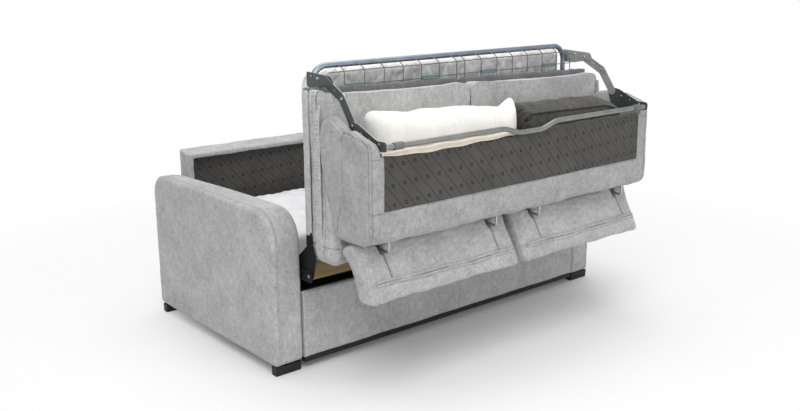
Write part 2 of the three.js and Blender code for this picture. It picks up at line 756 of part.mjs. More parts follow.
onBothSides((side, sign) => {
  // Four plates lie side by side: bracket, upper link, lower link and back arm
  const face = (layer) => sign * (bracketX + layer * linkPitchX);
  const back = (layer) => face(layer) + sign * linkThickness;
  let bracket = toSolid(alongX(roundedOutline(bracketCorners), face(0), back(0)));
  rivetPlaces.forEach(([y, z]) => {
    bracket = bracket.add(toSolid(rodAlongX(face(0), back(0) + sign * rivetHeight, y, z, rivetRadius, 12)));
  });
  put(`link_bracket_${side}`, bracket, greySteel);
  put(`upper_link_${side}`, linkWithHoles(
    upperLinkRoot[0], upperLinkRoot[1], kneeY, kneeZ, linkWidth,
    [[kneeY, kneeZ, jointHole]], face(1), back(1)), greySteel);
  const lowerLink = toSolid(linkWithHoles(kneeY, kneeZ, elbowY, elbowZ, linkWidth, [], face(2), back(2)));
  const kneePin = toSolid(rodAlongX(face(1), back(3), kneeY, kneeZ, jointPinRadius, 16));
  const elbowPin = toSolid(rodAlongX(face(2), back(3), elbowY, elbowZ, jointPinRadius, 16));
  put(`lower_link_${side}`, lowerLink.add(kneePin).add(elbowPin), greySteel);
  put(`back_arm_${side}`, plateWithHoles(
    backArmCorners, [[elbowY, elbowZ, jointHole]], face(3), back(3)), greySteel);
});

// Backrest tube: a straight bar with a shallow dip in its middle
const backTubeEnd = bracketX + linkPitchX * 3 - seatGap;
const dipStart = backTubeDipHalf + backTubeDipRun;
function dipAt(x) {
  const across = THREE.MathUtils.clamp((dipStart - Math.abs(x)) / backTubeDipRun, 0, 1);
  return -backTubeDip * (1 - Math.cos(across * Math.PI)) / 2;
}
const tubeStations = [
  -backTubeEnd, -dipStart, ...spread(-dipStart, -backTubeDipHalf, 6).slice(1),
  ...spread(backTubeDipHalf, dipStart, 6), backTubeEnd];
function sweptBar(stations, centreAt, radius, sides) {
  const positions = [];
  const index = [];
  stations.forEach((x) => {
    const [y, z] = centreAt(x);
    for (let side = 0; side < sides; side += 1) {
      const turn = side / sides * Math.PI * 2;
      positions.push(x, y + radius * Math.cos(turn), z + radius * Math.sin(turn));
    }
  });
  const first = positions.length / 3;
  positions.push(stations[0], ...centreAt(stations[0]));
  positions.push(stations.at(-1), ...centreAt(stations.at(-1)));
  for (let side = 0; side < sides; side += 1) {
    const next = (side + 1) % sides;
    for (let ring = 0; ring + 1 < stations.length; ring += 1) {
      const a = ring * sides + side;
      const b = ring * sides + next;
      index.push(a, b, a + sides, b, b + sides, a + sides);
    }
    const last = (stations.length - 1) * sides;
    index.push(first, next, side, first + 1, last + side, last + next);
  }
  const geometry = new THREE.BufferGeometry();
  geometry.setAttribute('position', new THREE.Float32BufferAttribute(positions, 3));
  geometry.setIndex(index);
  return geometry;
}
put('back_tube', sweptBar(tubeStations, (x) => [backTubeY, backTubeZ + dipAt(x)], backTubeRadius, 14),
  greySteel);
onBothSides((side, sign) => {
  const bore = backTubeRadius + seatGap;
  const points = [[bore, 0], [collarRadius, 0], [collarRadius, collarLength], [bore, collarLength], [bore, 0]];
  const collar = new THREE.LatheGeometry(points.map(([r, h]) => new THREE.Vector2(r, h)), 16);
  collar.rotateZ(-Math.PI / 2);
  const low = sign < 0 ? -(backTubeEnd - collarFromEnd) : backTubeEnd - collarFromEnd - collarLength;
  put(`tube_collar_${side}`, toSolid(collar.translate(low, backTubeY, backTubeZ)), greyPlastic);
});

// Backrest: an upholstered tray whose open side, with the bedding pocket, is up
const backFrontFace = spread(backBottom + backRound, pressTop, backFrontSteps)
  .map((z) => [pressLine(z) - pressGap, z, 0]);
const backOutline = roundedOutline([
  ...backFrontFace,
  [pressHigh - pressGap, backSideTop, backRound],
  [backRear, backSideTop, backRound],
  [backRear, backBottom, backRound],
  [pressLine(backBottom) - pressGap, backBottom, backEdge + seatGap],
]);
const backBlank = toSolid(alongX(backOutline, -backHalfWidth, backHalfWidth, backEdge, 5, 3));
const pocketCut = toSolid(boxBetween(
  -pocketHalf, backRear + backRearWall, pocketFloor,
  pocketHalf, pocketFront, backSideTop + cutOver));
const rearLowering = toSolid(boxBetween(
  -pocketHalf, backRear - cutOver, backRearTop,
  pocketHalf, backRear + backRearWall + cutOver, backSideTop + cutOver));
const frontLowering = toSolid(boxBetween(
  -pocketHalf, pocketFront - cutOver, backFrontTop,
  pocketHalf, pressHigh + cutOver, backSideTop + cutOver));
put('back_shell', backBlank.subtract(pocketCut).subtract(rearLowering).subtract(frontLowering), greyFabric);
put('back_lining', boxBetween(
  -backLiningHalfWidth, backRear - seatGap - backLiningThickness, backLiningBottom,
  backLiningHalfWidth, backRear - seatGap, backRearTop), darkLining);

// Bedding in the pocket
function bedding(x0, x1, top) {
  const y0 = backRear + backRearWall + seatGap + beddingCrown;
  const y1 = pocketFront - seatGap - beddingCrown;
  const low = pocketFloor + seatGap;
  const form = stuffedBlock({
    width: x1 - x0,
    height: top - low,
    depth: y1 - y0,
    round: beddingCorner,
    crown: beddingCrown,
    draw: beddingCrown,
    cells: [10, 7, 4],
  });
  form.rotateX(Math.PI / 2);
  return form.translate((x0 + x1) / 2, (y0 + y1) / 2, low + (top - low) / 2);
}
const beddingReach = pocketHalf - beddingInset;
const pillowRight = pocketHalf * pillowShare;
put('pillow', bedding(-beddingReach, pillowRight, pillowTop), pillowCotton);
put('bedding_bag', bedding(pillowRight + fabricGap * 5, beddingReach, bagTop), darkLining);

// Headrests hang from the backrest's edge on bent rods that end in cross pins
const headrestOutline = roundedOutline([
  [headrestAxisY - headrestTopRound / 2, headrestAxisZ + headrestTopRound, headrestTopRound * 1.1],
  [headrestFaceY, headrestFaceZ, headrestRound],
  [headrestHeelY, headrestHeelZ, headrestRound],
  [headrestNapeY, headrestAxisZ, headrestTopRound * 0.8],
]);
const slotOutline = new THREE.Shape();
slotOutline.moveTo(headrestAxisY + pinRadius, headrestAxisZ + headrestTopRound * 2);
slotOutline.lineTo(headrestAxisY + pinRadius, headrestAxisZ - pinRadius * 1.5);
slotOutline.lineTo(headrestFaceY, headrestAxisZ - headrestTopRound * 1.6);
slotOutline.lineTo(headrestFaceY, headrestAxisZ + headrestTopRound * 2);
slotOutline.closePath();
function hangerSolid(x) {
  const rod = barAlong([
    new THREE.Vector3(x, hangerY, backBottom - seatGap),
    new THREE.Vector3(x, hangerY, hangerFootZ + hangerBend * 1.3),
    new THREE.Vector3(x, hangerY + hangerBend * 0.3, hangerFootZ + hangerBend * 0.3),
    new THREE.Vector3(x, hangerY + hangerBend * 1.3, hangerFootZ),
    new THREE.Vector3(x, headrestAxisY, headrestAxisZ),
  ], hangerRodRadius, 8, 14);
  const pin = rodAlongX(x - hangerSlot, x + hangerSlot, headrestAxisY, headrestAxisZ, hangerRodRadius, 12);
  return toSolid(rod).add(toSolid(pin));
}
onBothSides((side, sign) => {
  const inner = sign * headrestGap / 2;
  const outer = sign * headrestHalfWidth;
  let block = toSolid(alongX(headrestOutline, inner, outer, headrestEdge, 5, 3));
  [['inner', hangerInner], ['outer', hangerOuter]].forEach(([place, distance]) => {
    const x = sign * distance;
    const slot = toSolid(alongX(slotOutline, x - hangerSlot / 2, x + hangerSlot / 2));
    const bore = toSolid(rodAlongX(
      x - hangerSlot - pinClearance, x + hangerSlot + pinClearance,
      headrestAxisY, headrestAxisZ, hangerRodRadius + pinClearance, 16));
    block = block.subtract(slot).subtract(bore);
    put(`headrest_hanger_${side}_${place}`, hangerSolid(x), brightSteel);
  });
  put(`headrest_${side}`, block, greyFabric);
});

// The origin lies on the floor, in the middle of the sofa's width and depth as shown
const middleY = (overallDepth + frontmostY) / 2;
sofa.position.y = -middleY;

export default sofa;
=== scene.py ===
import json
import math

import bmesh
import bpy
import numpy as np
from bpy.props import FloatProperty, FloatVectorProperty, IntProperty, PointerProperty
from mathutils import Matrix, Vector
from mathutils.bvhtree import BVHTree

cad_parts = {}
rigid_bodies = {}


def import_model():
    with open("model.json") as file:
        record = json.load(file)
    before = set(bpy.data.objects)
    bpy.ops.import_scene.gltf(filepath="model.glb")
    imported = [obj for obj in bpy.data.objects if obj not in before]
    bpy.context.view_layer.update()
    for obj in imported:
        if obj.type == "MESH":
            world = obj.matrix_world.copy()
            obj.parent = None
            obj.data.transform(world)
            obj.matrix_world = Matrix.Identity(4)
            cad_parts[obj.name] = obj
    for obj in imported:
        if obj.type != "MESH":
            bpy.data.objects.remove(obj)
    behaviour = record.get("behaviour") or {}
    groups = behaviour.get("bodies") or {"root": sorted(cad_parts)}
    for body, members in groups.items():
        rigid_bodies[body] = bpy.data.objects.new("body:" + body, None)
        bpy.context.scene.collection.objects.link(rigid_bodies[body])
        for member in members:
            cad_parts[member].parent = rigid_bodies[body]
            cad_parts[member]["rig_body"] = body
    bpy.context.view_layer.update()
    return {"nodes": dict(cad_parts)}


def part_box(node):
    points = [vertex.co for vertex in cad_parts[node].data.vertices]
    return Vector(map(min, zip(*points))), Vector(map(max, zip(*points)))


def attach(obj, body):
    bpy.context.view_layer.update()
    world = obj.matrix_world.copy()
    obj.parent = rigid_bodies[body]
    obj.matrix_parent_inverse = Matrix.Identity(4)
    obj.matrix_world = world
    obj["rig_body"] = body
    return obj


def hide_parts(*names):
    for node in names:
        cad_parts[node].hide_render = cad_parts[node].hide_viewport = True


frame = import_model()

bl_info = {
    "name": "Half-opened sleeper sofa",
    "version": (1, 0, 0),
    "blender": (4, 5, 0),
    "location": "View3D > Sidebar > Sofa",
    "description": "Upholstery, bed and linkage of a sleeper sofa over its packed frame",
    "category": "Add Mesh",
}

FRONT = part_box("left_arm")[0].y
ARM_INNER = -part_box("left_arm")[1].x
ARM_OUTER = -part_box("left_arm")[0].x
SEAT_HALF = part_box("seat_deck")[1].x
SIDES = (("left", -1), ("right", 1))


# Shapes
def smooth(t):
    """3t^2 - 2t^3 between 0 and 1, flat outside."""
    t = np.clip(t, 0.0, 1.0)
    return t * t * (3 - 2 * t)


def hump(t, width):
    """Bell of height 1 about zero: exp(-(t / width)^2)."""
    return np.exp(-((t / width) ** 2))


def ripple(points, pitch, seed, waves=7):
    """Sum of sine waves in seeded directions, about pitch long, scaled to about -1..1."""
    rng = np.random.default_rng(seed)
    way = rng.normal(size=(waves, 3))
    way *= (2 * np.pi / (pitch * rng.uniform(0.7, 1.6, waves)) / np.linalg.norm(way, axis=1))[:, None]
    phase = rng.uniform(0, 2 * np.pi, waves)
    return np.sin(points @ way.T + phase).sum(-1) / math.sqrt(2 * waves)


def rounded(corners, steps=8):
    """Corners (a, b, radius), each replaced by the arc that touches both of its sides."""
    corner = np.array(corners, float)
    here = corner[:, :2]
    back = np.roll(here, 1, 0) - here
    on = np.roll(here, -1, 0) - here
    back /= np.linalg.norm(back, axis=1)[:, None]
    on /= np.linalg.norm(on, axis=1)[:, None]
    half = np.arccos(np.clip((back * on).sum(1), -1, 1)) / 2
    middle = back + on
    middle /= np.maximum(np.linalg.norm(middle, axis=1), 1e-9)[:, None]
    centre = here + middle * (corner[:, 2] / np.sin(half))[:, None]
    reach = (corner[:, 2] / np.tan(half))[:, None]
    start = here + back * reach - centre
    end = here + on * reach - centre
    first = np.arctan2(start[:, 1], start[:, 0])
    turn = (np.arctan2(end[:, 1], end[:, 0]) - first + np.pi) % (2 * np.pi) - np.pi
    angle = first[:, None] + turn[:, None] * np.linspace(0, 1, steps + 1)
    arc = np.stack([np.cos(angle), np.sin(angle)], -1) * corner[:, 2][:, None, None]
    return (centre[:, None, :] + arc).reshape(-1, 2)


def evenly(line, count, closed=True):
    """A line of points resampled to count points at equal distances along it."""
    if closed:
        line = np.vstack([line, line[:1]])
    gap = np.linalg.norm(np.diff(line, axis=0), axis=1)
    along = np.concatenate([[0], np.cumsum(gap)])
    keep = np.concatenate([[True], gap > 1e-9])
    place = np.linspace(0, along[-1], count, endpoint=not closed)
    return np.stack([np.interp(place, along[keep], line[keep, k]) for k in range(line.shape[1])], 1)


def outward(loop):
    """Unit normals of a closed flat loop, away from its inside."""
    way = np.roll(loop, -1, 0) - np.roll(loop, 1, 0)
    square = np.stack([way[:, 1], -way[:, 0]], 1)
    square /= np.linalg.norm(square, axis=1)[:, None]
    on = np.roll(loop, -1, 0)
    return square * np.sign((loop[:, 0] * on[:, 1] - on[:, 0] * loop[:, 1]).sum())


def grid_faces(rows, columns, wrap_rows=False, wrap_columns=False):
    """Quads between neighbouring points of a grid, wrapped round where asked."""
    i, j = np.meshgrid(
        np.arange(rows if wrap_rows else rows - 1),
        np.arange(columns if wrap_columns else columns - 1), indexing="ij")
    down, across = (i + 1) % rows, (j + 1) % columns
    faces = [i * columns + j, i * columns + across, down * columns + across, down * columns + j]
    return np.stack(faces, -1).reshape(-1, 4)


def ringed(rings):
    """Closed body from rings of points (m, n, 3), with a fan to the middle of each end ring."""
    m, n = rings.shape[:2]
    points = np.concatenate([rings.reshape(-1, 3), rings[:1].mean(1), rings[-1:].mean(1)])
    j = np.arange(n)
    k = (j + 1) % n
    first = np.stack([np.full(n, m * n), k, j], 1)
    last = np.stack([np.full(n, m * n + 1), (m - 1) * n + j, (m - 1) * n + k], 1)
    return points, grid_faces(m, n, wrap_columns=True), np.concatenate([first, last])


def box_grid(cells):
    """The six faces of a cube from -1 to 1 as one closed grid."""
    blocks, faces, count = [], [], 0
    for axis in range(3):
        a, b = [k for k in range(3) if k != axis]
        u, v = np.meshgrid(
            np.linspace(-1, 1, cells[a] + 1), np.linspace(-1, 1, cells[b] + 1), indexing="ij")
        for side in (-1, 1):
            block = np.zeros(u.shape + (3,))
            block[..., a], block[..., b], block[..., axis] = u, v, side
            quads = grid_faces(*u.shape) + count
            faces.append(quads[:, ::-1] if (side > 0) != (axis == 1) else quads)
            blocks.append(block.reshape(-1, 3))
            count += u.size
    points, index = np.unique(np.round(np.concatenate(blocks), 6), axis=0, return_inverse=True)
    return points, index.reshape(-1)[np.concatenate(faces)]


def block(size, edge, cells):
    """Box of the given full size with edges and corners rounded by one radius."""
    unit, quads = box_grid(cells)
    half = np.array(size) / 2
    points = unit * half
    core = np.clip(points, edge - half, half - edge)
    away = points - core
    length = np.linalg.norm(away, axis=1)[:, None]
    return core + away * edge / np.maximum(length, 1e-9), quads, unit


def edge_stations(low, high, edge, inner, steps=8):
    """Places across a slab and how far its outline draws in there: quarter circles at both
    ends, edge * (1 - sin t), and the given places between them."""
    t = np.linspace(0, np.pi / 2, steps + 1)
    lead, draw = edge * (1 - np.cos(t)), edge * (1 - np.sin(t))
    x = np.concatenate([low + lead, inner, high - lead[::-1]])
    return x, np.concatenate([draw, np.zeros(len(inner)), draw[::-1]])


def slab(outline, x, inset, bulge, rings=16):
    """Outline (y, z) carried along X and drawn in by inset at each station. At both ends rings
    shrink to the middle by s and stand out by bulge * (1 - s^2)."""
    loop = outline[None] - inset[:, None, None] * outward(outline)[None]
    body = np.concatenate([np.broadcast_to(x[:, None, None], loop.shape[:2] + (1,)), loop], -1)
    s = np.linspace(1, 0, rings + 1)[1:-1]
    caps = []
    for end, side in ((body[0], -1), (body[-1], 1)):
        cap = end.mean(0) + (end - end.mean(0)) * s[:, None, None]
        cap[..., 0] += side * np.sign(x[-1] - x[0]) * bulge * (1 - s[:, None] ** 2)
        caps.append(cap)
    return np.concatenate([caps[0][::-1], body, caps[1]])


def tube(path, radius, sides=16, closed=False, lean=(0, 0, 1), dome=0.5):
    """Ring of the given radius about each path point, square to the path. lean is a direction
    that the path never runs along. Open ends are closed by a dome of dome * radius."""
    path = np.asarray(path, float)
    if closed:
        way = np.roll(path, -1, 0) - np.roll(path, 1, 0)
    else:
        way = np.gradient(path, axis=0)
    way /= np.linalg.norm(way, axis=1)[:, None]
    up = np.array(lean, float) - (way @ np.array(lean, float))[:, None] * way
    up /= np.linalg.norm(up, axis=1)[:, None]
    side = np.cross(way, up)
    size = np.broadcast_to(np.asarray(radius, float), (len(path),))
    if not closed:
        a = np.radians([80, 60, 35, 0])
        path = np.concatenate([
            path[:1] - way[:1] * (np.sin(a) * size[0] * dome)[:, None], path[1:-1],
            path[-1:] + way[-1:] * (np.sin(a[::-1]) * size[-1] * dome)[:, None]])
        size = np.concatenate([np.cos(a) * size[0], size[1:-1], np.cos(a[::-1]) * size[-1]])
        up = np.concatenate([np.repeat(up[:1], 4, 0), up[1:-1], np.repeat(up[-1:], 4, 0)])
        side = np.concatenate([np.repeat(side[:1], 4, 0), side[1:-1], np.repeat(side[-1:], 4, 0)])
    turn = np.arange(sides) / sides * 2 * np.pi
    ring = up[:, None] * np.cos(turn)[:, None] + side[:, None] * np.sin(turn)[:, None]
    rings = path[:, None] + ring * size[:, None, None]
    if closed:
        return rings.reshape(-1, 3), grid_faces(len(path), sides, True, True), None
    return ringed(rings)


def press_line(z):
    """Y where seat and backrest press on each other: a smooth step from 0.215 m in front of the
    base at 0.56 m up to 0.118 m at 1 m."""
    return FRONT - 0.215 + 0.097 * smooth((z - 0.56) / 0.44)


def lean(x):
    """How much higher the seat's upholstery stands at the left than in its middle: 24 mm per
    metre, at most 20 mm."""
    return np.clip(-0.024 * x, -0.020, 0.020)


# Pieces
def piece(name, points, quads, triangles=None, *, body, slot, look, uv=None, seam=None):
    """Mesh object from arrays. Faces are turned where the enclosed volume comes out negative;
    uv is in metres along the cloth, and the last argument is a value from 0 to 1 per point that marks seam
    lines and painted shade for the material, and on the quilt painted highlights."""
    triangles = np.zeros((0, 3), int) if triangles is None else triangles
    cut = np.concatenate([quads[:, [0, 1, 2]], quads[:, [0, 2, 3]], triangles])
    a, b, c = points[cut].transpose(1, 0, 2)
    if np.einsum("ij,ij->i", a - points.mean(0), np.cross(b - a, c - a)).sum() < 0:
        quads, triangles = quads[:, ::-1], triangles[:, ::-1]
    mesh = bpy.data.meshes.new(name)
    mesh.from_pydata(points.tolist(), [], quads.tolist() + triangles.tolist())
    mesh.shade_smooth()
    if uv is not None:
        index = np.zeros(len(mesh.loops), np.int32)
        mesh.loops.foreach_get("vertex_index", index)
        layer = mesh.uv_layers.new(name="cloth")
        layer.data.foreach_set("uv", uv[index].astype(np.float32).ravel())
    # The point mask stored here holds seam lines and painted shade, and on the quilt painted highlights.
    if seam is not None:
        mesh.attributes.new("seam", "FLOAT", "POINT").data.foreach_set("value", seam.astype(np.float32))
    mesh.materials.append(finish_of(look))
    made = bpy.data.objects.new(name, mesh)
    bpy.context.scene.collection.objects.link(made)
    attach(made, body)
    return made


def arrays(mesh):
    """Points and normals of a mesh as arrays."""
    points = np.zeros(len(mesh.vertices) * 3, np.float32)
    normals = np.zeros_like(points)
    mesh.vertices.foreach_get("co", points)
    mesh.vertex_normals.foreach_get("vector", normals)
    return points.reshape(-1, 3).astype(float), normals.reshape(-1, 3).astype(float)


def reshape(made, work):
    """work(points, normals) gives new points and a value from 0 to 1 for each that marks seam lines and
    painted shade, and on the quilt painted highlights; both are kept.
    """
    points, seam = work(*arrays(made.data))
    made.data.vertices.foreach_set("co", points.astype(np.float32).ravel())
    held = made.data.attributes.get("seam") or made.data.attributes.new("seam", "FLOAT", "POINT")
    held.data.foreach_set("value", np.clip(seam, 0, 1).astype(np.float32))
    made.data.update()


def applied(made):
    """Replaces an object's mesh by the one that its modifiers give."""
    graph = bpy.context.evaluated_depsgraph_get()
    mesh = bpy.data.meshes.new_from_object(made.evaluated_get(graph))
    made.modifiers.clear()
    made.data = mesh


def swell(made, cap, voxel):
    """Blows a pad up as cloth under pressure for 20 steps, without gravity. No point keeps more
    than cap of its move: move * min(1, cap / length). One subdivision follows."""
    scene = bpy.context.scene
    test = bpy.data.objects.new("pad_test", made.data.copy())
    scene.collection.objects.link(test)
    remesh = test.modifiers.new("even", "REMESH")
    remesh.mode = "VOXEL"
    remesh.voxel_size = voxel
    applied(test)
    start = arrays(test.data)[0]
    cloth = test.modifiers.new("cloth", "CLOTH")
    cloth.settings.use_pressure = True
    cloth.settings.uniform_pressure_force = 4
    cloth.settings.effector_weights.gravity = 0
    cloth.point_cache.frame_start = 1
    cloth.point_cache.frame_end = 20
    for step in range(1, 21):
        scene.frame_set(step)
    shape = test.evaluated_get(bpy.context.evaluated_depsgraph_get()).data
    move = arrays(shape)[0] - start
    test.modifiers.clear()
    length = np.linalg.norm(move, axis=1)[:, None]
    points = start + move * np.minimum(1, cap / np.maximum(length, 1e-9))
    test.data.vertices.foreach_set("co", points.astype(np.float32).ravel())
    finer = test.modifiers.new("finer", "SUBSURF")
    finer.levels = finer.render_levels = 1
    applied(test)
    look = made.data.materials[0]
    made.data = test.data.copy()
    made.data.materials.clear()
    made.data.materials.append(look)
    made.data.shade_smooth()
    bpy.data.objects.remove(test)
    scene.frame_set(1)


def modified(made, kind, **settings):
    """Adds a modifier with the given settings."""
    added = made.modifiers.new(kind.lower(), kind)
    for key, value in settings.items():
        setattr(added, key, value)
    return added


def softened(node, name, look, edge, rim=None):
    """A merged copy of a CAD plate or bar whose sharp edges get a small bevel. With a look for
    the rim, faces that don't look along X get that look."""
    mesh = frame["nodes"][node].data.copy()
    mesh.name = name
    work = bmesh.new()
    work.from_mesh(mesh)
    bmesh.ops.remove_doubles(work, verts=work.verts, dist=2e-5)
    bmesh.ops.dissolve_limit(work, angle_limit=0.02, verts=work.verts, edges=work.edges)
    work.to_mesh(mesh)
    work.free()
    mesh.materials.clear()
    mesh.materials.append(finish_of(look))
    if rim is not None:
        mesh.materials.append(finish_of(rim))
        across = np.zeros(len(mesh.polygons) * 3, np.float32)
        mesh.polygons.foreach_get("normal", across)
        mesh.polygons.foreach_set("material_index", (np.abs(across[::3]) < 0.6).astype(np.int32))
    made = bpy.data.objects.new(name, mesh)
    bpy.context.scene.collection.objects.link(made)
    modified(made, "BEVEL", width=edge, segments=2, limit_method="ANGLE", angle_limit=0.6)
    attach(made, frame["nodes"][node]["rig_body"])
    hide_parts(node)
    return made


def dress(look, slot, *nodes):
    """Gives CAD nodes that stay a procedural material."""
    for node in nodes:
        made = frame["nodes"][node]
        made.data.materials.clear()
        made.data.materials.append(finish_of(look))


# Finishes
def linear(shade):
    """sRGB parts from 0 to 255 as linear light: ((c + 0.055) / 1.055)^2.4."""
    c = np.array(shade[:3], float) / 255
    return tuple(np.where(c <= 0.04045, c / 12.92, ((c + 0.055) / 1.055) ** 2.4)) + (1.0,)


class Graph:
    """A material's nodes, added by kind with their inputs given as values or as other outputs."""

    def __init__(self, name, roughness=0.5, metallic=0.0, **sockets):
        self.material = bpy.data.materials.new(name)
        self.material.use_nodes = True
        self.nodes = self.material.node_tree.nodes
        self.links = self.material.node_tree.links
        self.shader = self.nodes["Principled BSDF"]
        self.shader.inputs["Roughness"].default_value = roughness
        self.shader.inputs["Metallic"].default_value = metallic
        for key, value in sockets.items():
            self.shader.inputs[key.replace("_", " ")].default_value = value

    def add(self, kind, inputs=None, **settings):
        made = self.nodes.new("ShaderNode" + kind)
        for key, value in settings.items():
            setattr(made, key, value)
        for key, value in (inputs or {}).items():
            if isinstance(value, bpy.types.NodeSocket):
                self.links.new(value, made.inputs[key])
            else:
                made.inputs[key].default_value = value
        return made

    def sum(self, operation, a, b=0.0, c=0.0, clamp=False):
        return self.add("Math", {0: a, 1: b, 2: c}, operation=operation, use_clamp=clamp).outputs[0]

    def place(self, scale=(1, 1, 1), turn=(0, 0, 0), uv=False):
        if uv:
            source = self.add("UVMap", uv_map="cloth").outputs[0]
        else:
            source = self.add("TexCoord").outputs["Object"]
        return self.add("Mapping", {"Vector": source, "Scale": scale, "Rotation": turn}).outputs[0]

    def noise(self, place, scale, detail=3.0, rough=0.55, bend=0.0):
        return self.add("TexNoise", {
            "Vector": place, "Scale": scale, "Detail": detail, "Roughness": rough,
            "Distortion": bend}).outputs["Fac"]

    def range(self, value, low, high, to_low=0.0, to_high=1.0):
        return self.add("MapRange", {
            "Value": value, "From Min": low, "From Max": high,
            "To Min": to_low, "To Max": to_high}).outputs[0]

    def blend(self, share, low, high):
        made = self.add("Mix", data_type="RGBA")
        for socket, value in ((0, share), (6, low), (7, high)):
            if isinstance(value, bpy.types.NodeSocket):
                self.links.new(value, made.inputs[socket])
            else:
                made.inputs[socket].default_value = value
        return made.outputs[2]

    def finish(self, colour=None, roughness=None, height=None, depth=0.001, strength=0.6):
        if colour is not None:
            self.links.new(colour, self.shader.inputs["Base Color"])
        if roughness is not None:
            self.links.new(roughness, self.shader.inputs["Roughness"])
        if height is not None:
            bump = self.add("Bump", {"Height": height, "Distance": depth, "Strength": strength})
            self.links.new(bump.outputs[0], self.shader.inputs["Normal"])
        return self.material


def scaled(colour, factor):
    """A colour with its light multiplied by a factor."""
    return tuple(min(1.0, part * factor) for part in colour[:3]) + (1.0,)


def velour(name, colour):
    """Short pile: broad patches and brushed marks where it lies another way, flecks and a fine
    grain, and a mask from the mesh that darkens it: lines where a seam pulls it in, and painted shade in
    gathers, darts, slits, notches and under the welt."""
    g = Graph(name, 0.95, Sheen_Weight=0.22, Sheen_Roughness=0.5, Specular_IOR_Level=0.12)
    patch = g.noise(g.place(), 7.0, 5.0, 0.62, 0.5)
    mark = g.noise(g.place((1.0, 0.8, 0.75), (0.35, 0.2, 0.5)), 52.0, 4.0, 0.68, 0.5)
    fleck = g.noise(g.place(), 165.0, 2.0, 0.6)
    grain = g.noise(g.place(), 420.0, 2.0, 0.6)
    value = g.sum("MULTIPLY_ADD", patch, 0.30, g.sum("MULTIPLY_ADD", mark, 0.36, g.sum(
        "MULTIPLY_ADD", fleck, 0.34, g.sum("MULTIPLY", grain, 0.26))))
    share = g.range(value, 0.49, 0.77)
    base = g.blend(share, scaled(colour, 0.66), scaled(colour, 1.31))
    seam = g.add("Attribute", attribute_name="seam").outputs["Fac"]
    # Painted shade: the mask darkens the pile in gathers, darts, slits, notches and under the welt, as well as
    # along seam lines.
    shade = g.blend(g.sum("MULTIPLY", seam, 0.72), base, scaled(colour, 0.22))
    height = g.sum("MULTIPLY_ADD", fleck, 0.5, g.sum("MULTIPLY_ADD", grain, 0.5, mark))
    return g.finish(shade, g.range(mark, 0.3, 0.7, 0.88, 1.0), height, 0.0016, 0.5)


def striped(name, colour, uv=True):
    """Dark cloth with thin lines that fall to the right, 46 mm apart, and small hollow lozenges
    between them: |u - a half| / 9 mm + |v - a half| / 13 mm from a half to 1."""
    g = Graph(name, 0.9, Sheen_Weight=0.08, Specular_IOR_Level=0.2)
    if uv:
        source = g.place(uv=True)
    else:
        apart = g.add("SeparateXYZ", {0: g.place()})
        source = g.add("CombineXYZ", {0: apart.outputs[0], 1: apart.outputs[2]}).outputs[0]
    turned = g.add("Mapping", {"Vector": source, "Rotation": (0, 0, math.radians(-42))}).outputs[0]
    axes = g.add("SeparateXYZ", {0: turned})
    across = g.sum("DIVIDE", axes.outputs[0], 0.046)
    along = g.sum("DIVIDE", axes.outputs[1], 0.098)
    row = g.sum("FLOOR", across)
    wide = g.sum("ABSOLUTE", g.sum("SUBTRACT", g.sum("FRACT", across), 0.5))
    line = g.range(wide, 0.450, 0.476)
    step = g.sum("ADD", along, g.sum("MULTIPLY", row, 0.37))
    tall = g.sum("ABSOLUTE", g.sum("SUBTRACT", g.sum("FRACT", step), 0.5))
    lozenge = g.sum("ADD", g.sum("MULTIPLY", wide, 5.1), g.sum("MULTIPLY", tall, 7.5))
    mark = g.sum("MULTIPLY", g.range(lozenge, 1.05, 0.85), g.range(lozenge, 0.3, 0.55))
    weave = g.noise(g.add("Mapping", {"Vector": source, "Scale": (1, 2.2, 1)}).outputs[0], 420.0, 2.0)
    patch = g.noise(g.place(), 7.0, 4.0, 0.6, 0.4)
    tone = g.sum("MULTIPLY_ADD", weave, 0.5, g.sum("MULTIPLY", patch, 0.6))
    base = g.blend(g.range(tone, 0.35, 0.75), scaled(colour, 0.78), scaled(colour, 1.25))
    print_ = g.sum("MAXIMUM", g.sum("MULTIPLY", line, 0.66), g.sum("MULTIPLY", mark, 0.85), clamp=True)
    seam = g.add("Attribute", attribute_name="seam").outputs["Fac"]
    # The mask darkens the print along seam lines and, on the bag, as painted shadow under the piping.
    dark = g.sum("MAXIMUM", print_, g.sum("MULTIPLY", seam, 0.7))
    shade = g.blend(dark, base, scaled(colour, 0.14))
    return g.finish(shade, None, weave, 0.0006, 0.4)


def quilted(name, colour):
    """Silvery ticking: crinkles whose bump noise also paints them lighter and darker, as painted
    shade and painted sheen; a faint sheen that changes from patch to patch; stitched lines painted lighter as
    painted highlights; and a nearly white border along the top and at the left end."""
    g = Graph(name, 0.40, Sheen_Weight=0.2, Specular_IOR_Level=0.6)
    crease = g.noise(g.place((1, 1, 0.5)), 17.0, 5.0, 0.62, 1.2)
    fine = g.noise(g.place(), 160.0, 3.0)
    # Painted shade and painted sheen: the crinkle noise that bumps the cloth also makes it darker and lighter.
    shade = g.blend(g.range(crease, 0.36, 0.64), scaled(colour, 0.66), scaled(colour, 1.22))
    seam = g.add("Attribute", attribute_name="seam").outputs["Fac"]
    # Painted highlight: the mask along the stitched lines makes the cloth lighter.
    shade = g.blend(g.sum("MULTIPLY", seam, 0.5), shade, scaled(colour, 1.45))
    axes = g.add("SeparateXYZ", {0: g.place()})
    upper, left = g.range(axes.outputs[2], 1.222, 1.242), g.range(axes.outputs[0], -0.735, -0.755)
    border = g.sum("MAXIMUM", upper, left)
    shade = g.blend(g.sum("MULTIPLY", border, 0.85), shade, linear((238, 235, 229)))
    height = g.sum("MULTIPLY_ADD", fine, 0.12, crease)
    return g.finish(shade, g.range(crease, 0.3, 0.7, 0.3, 0.6), height, 0.006, 0.5)


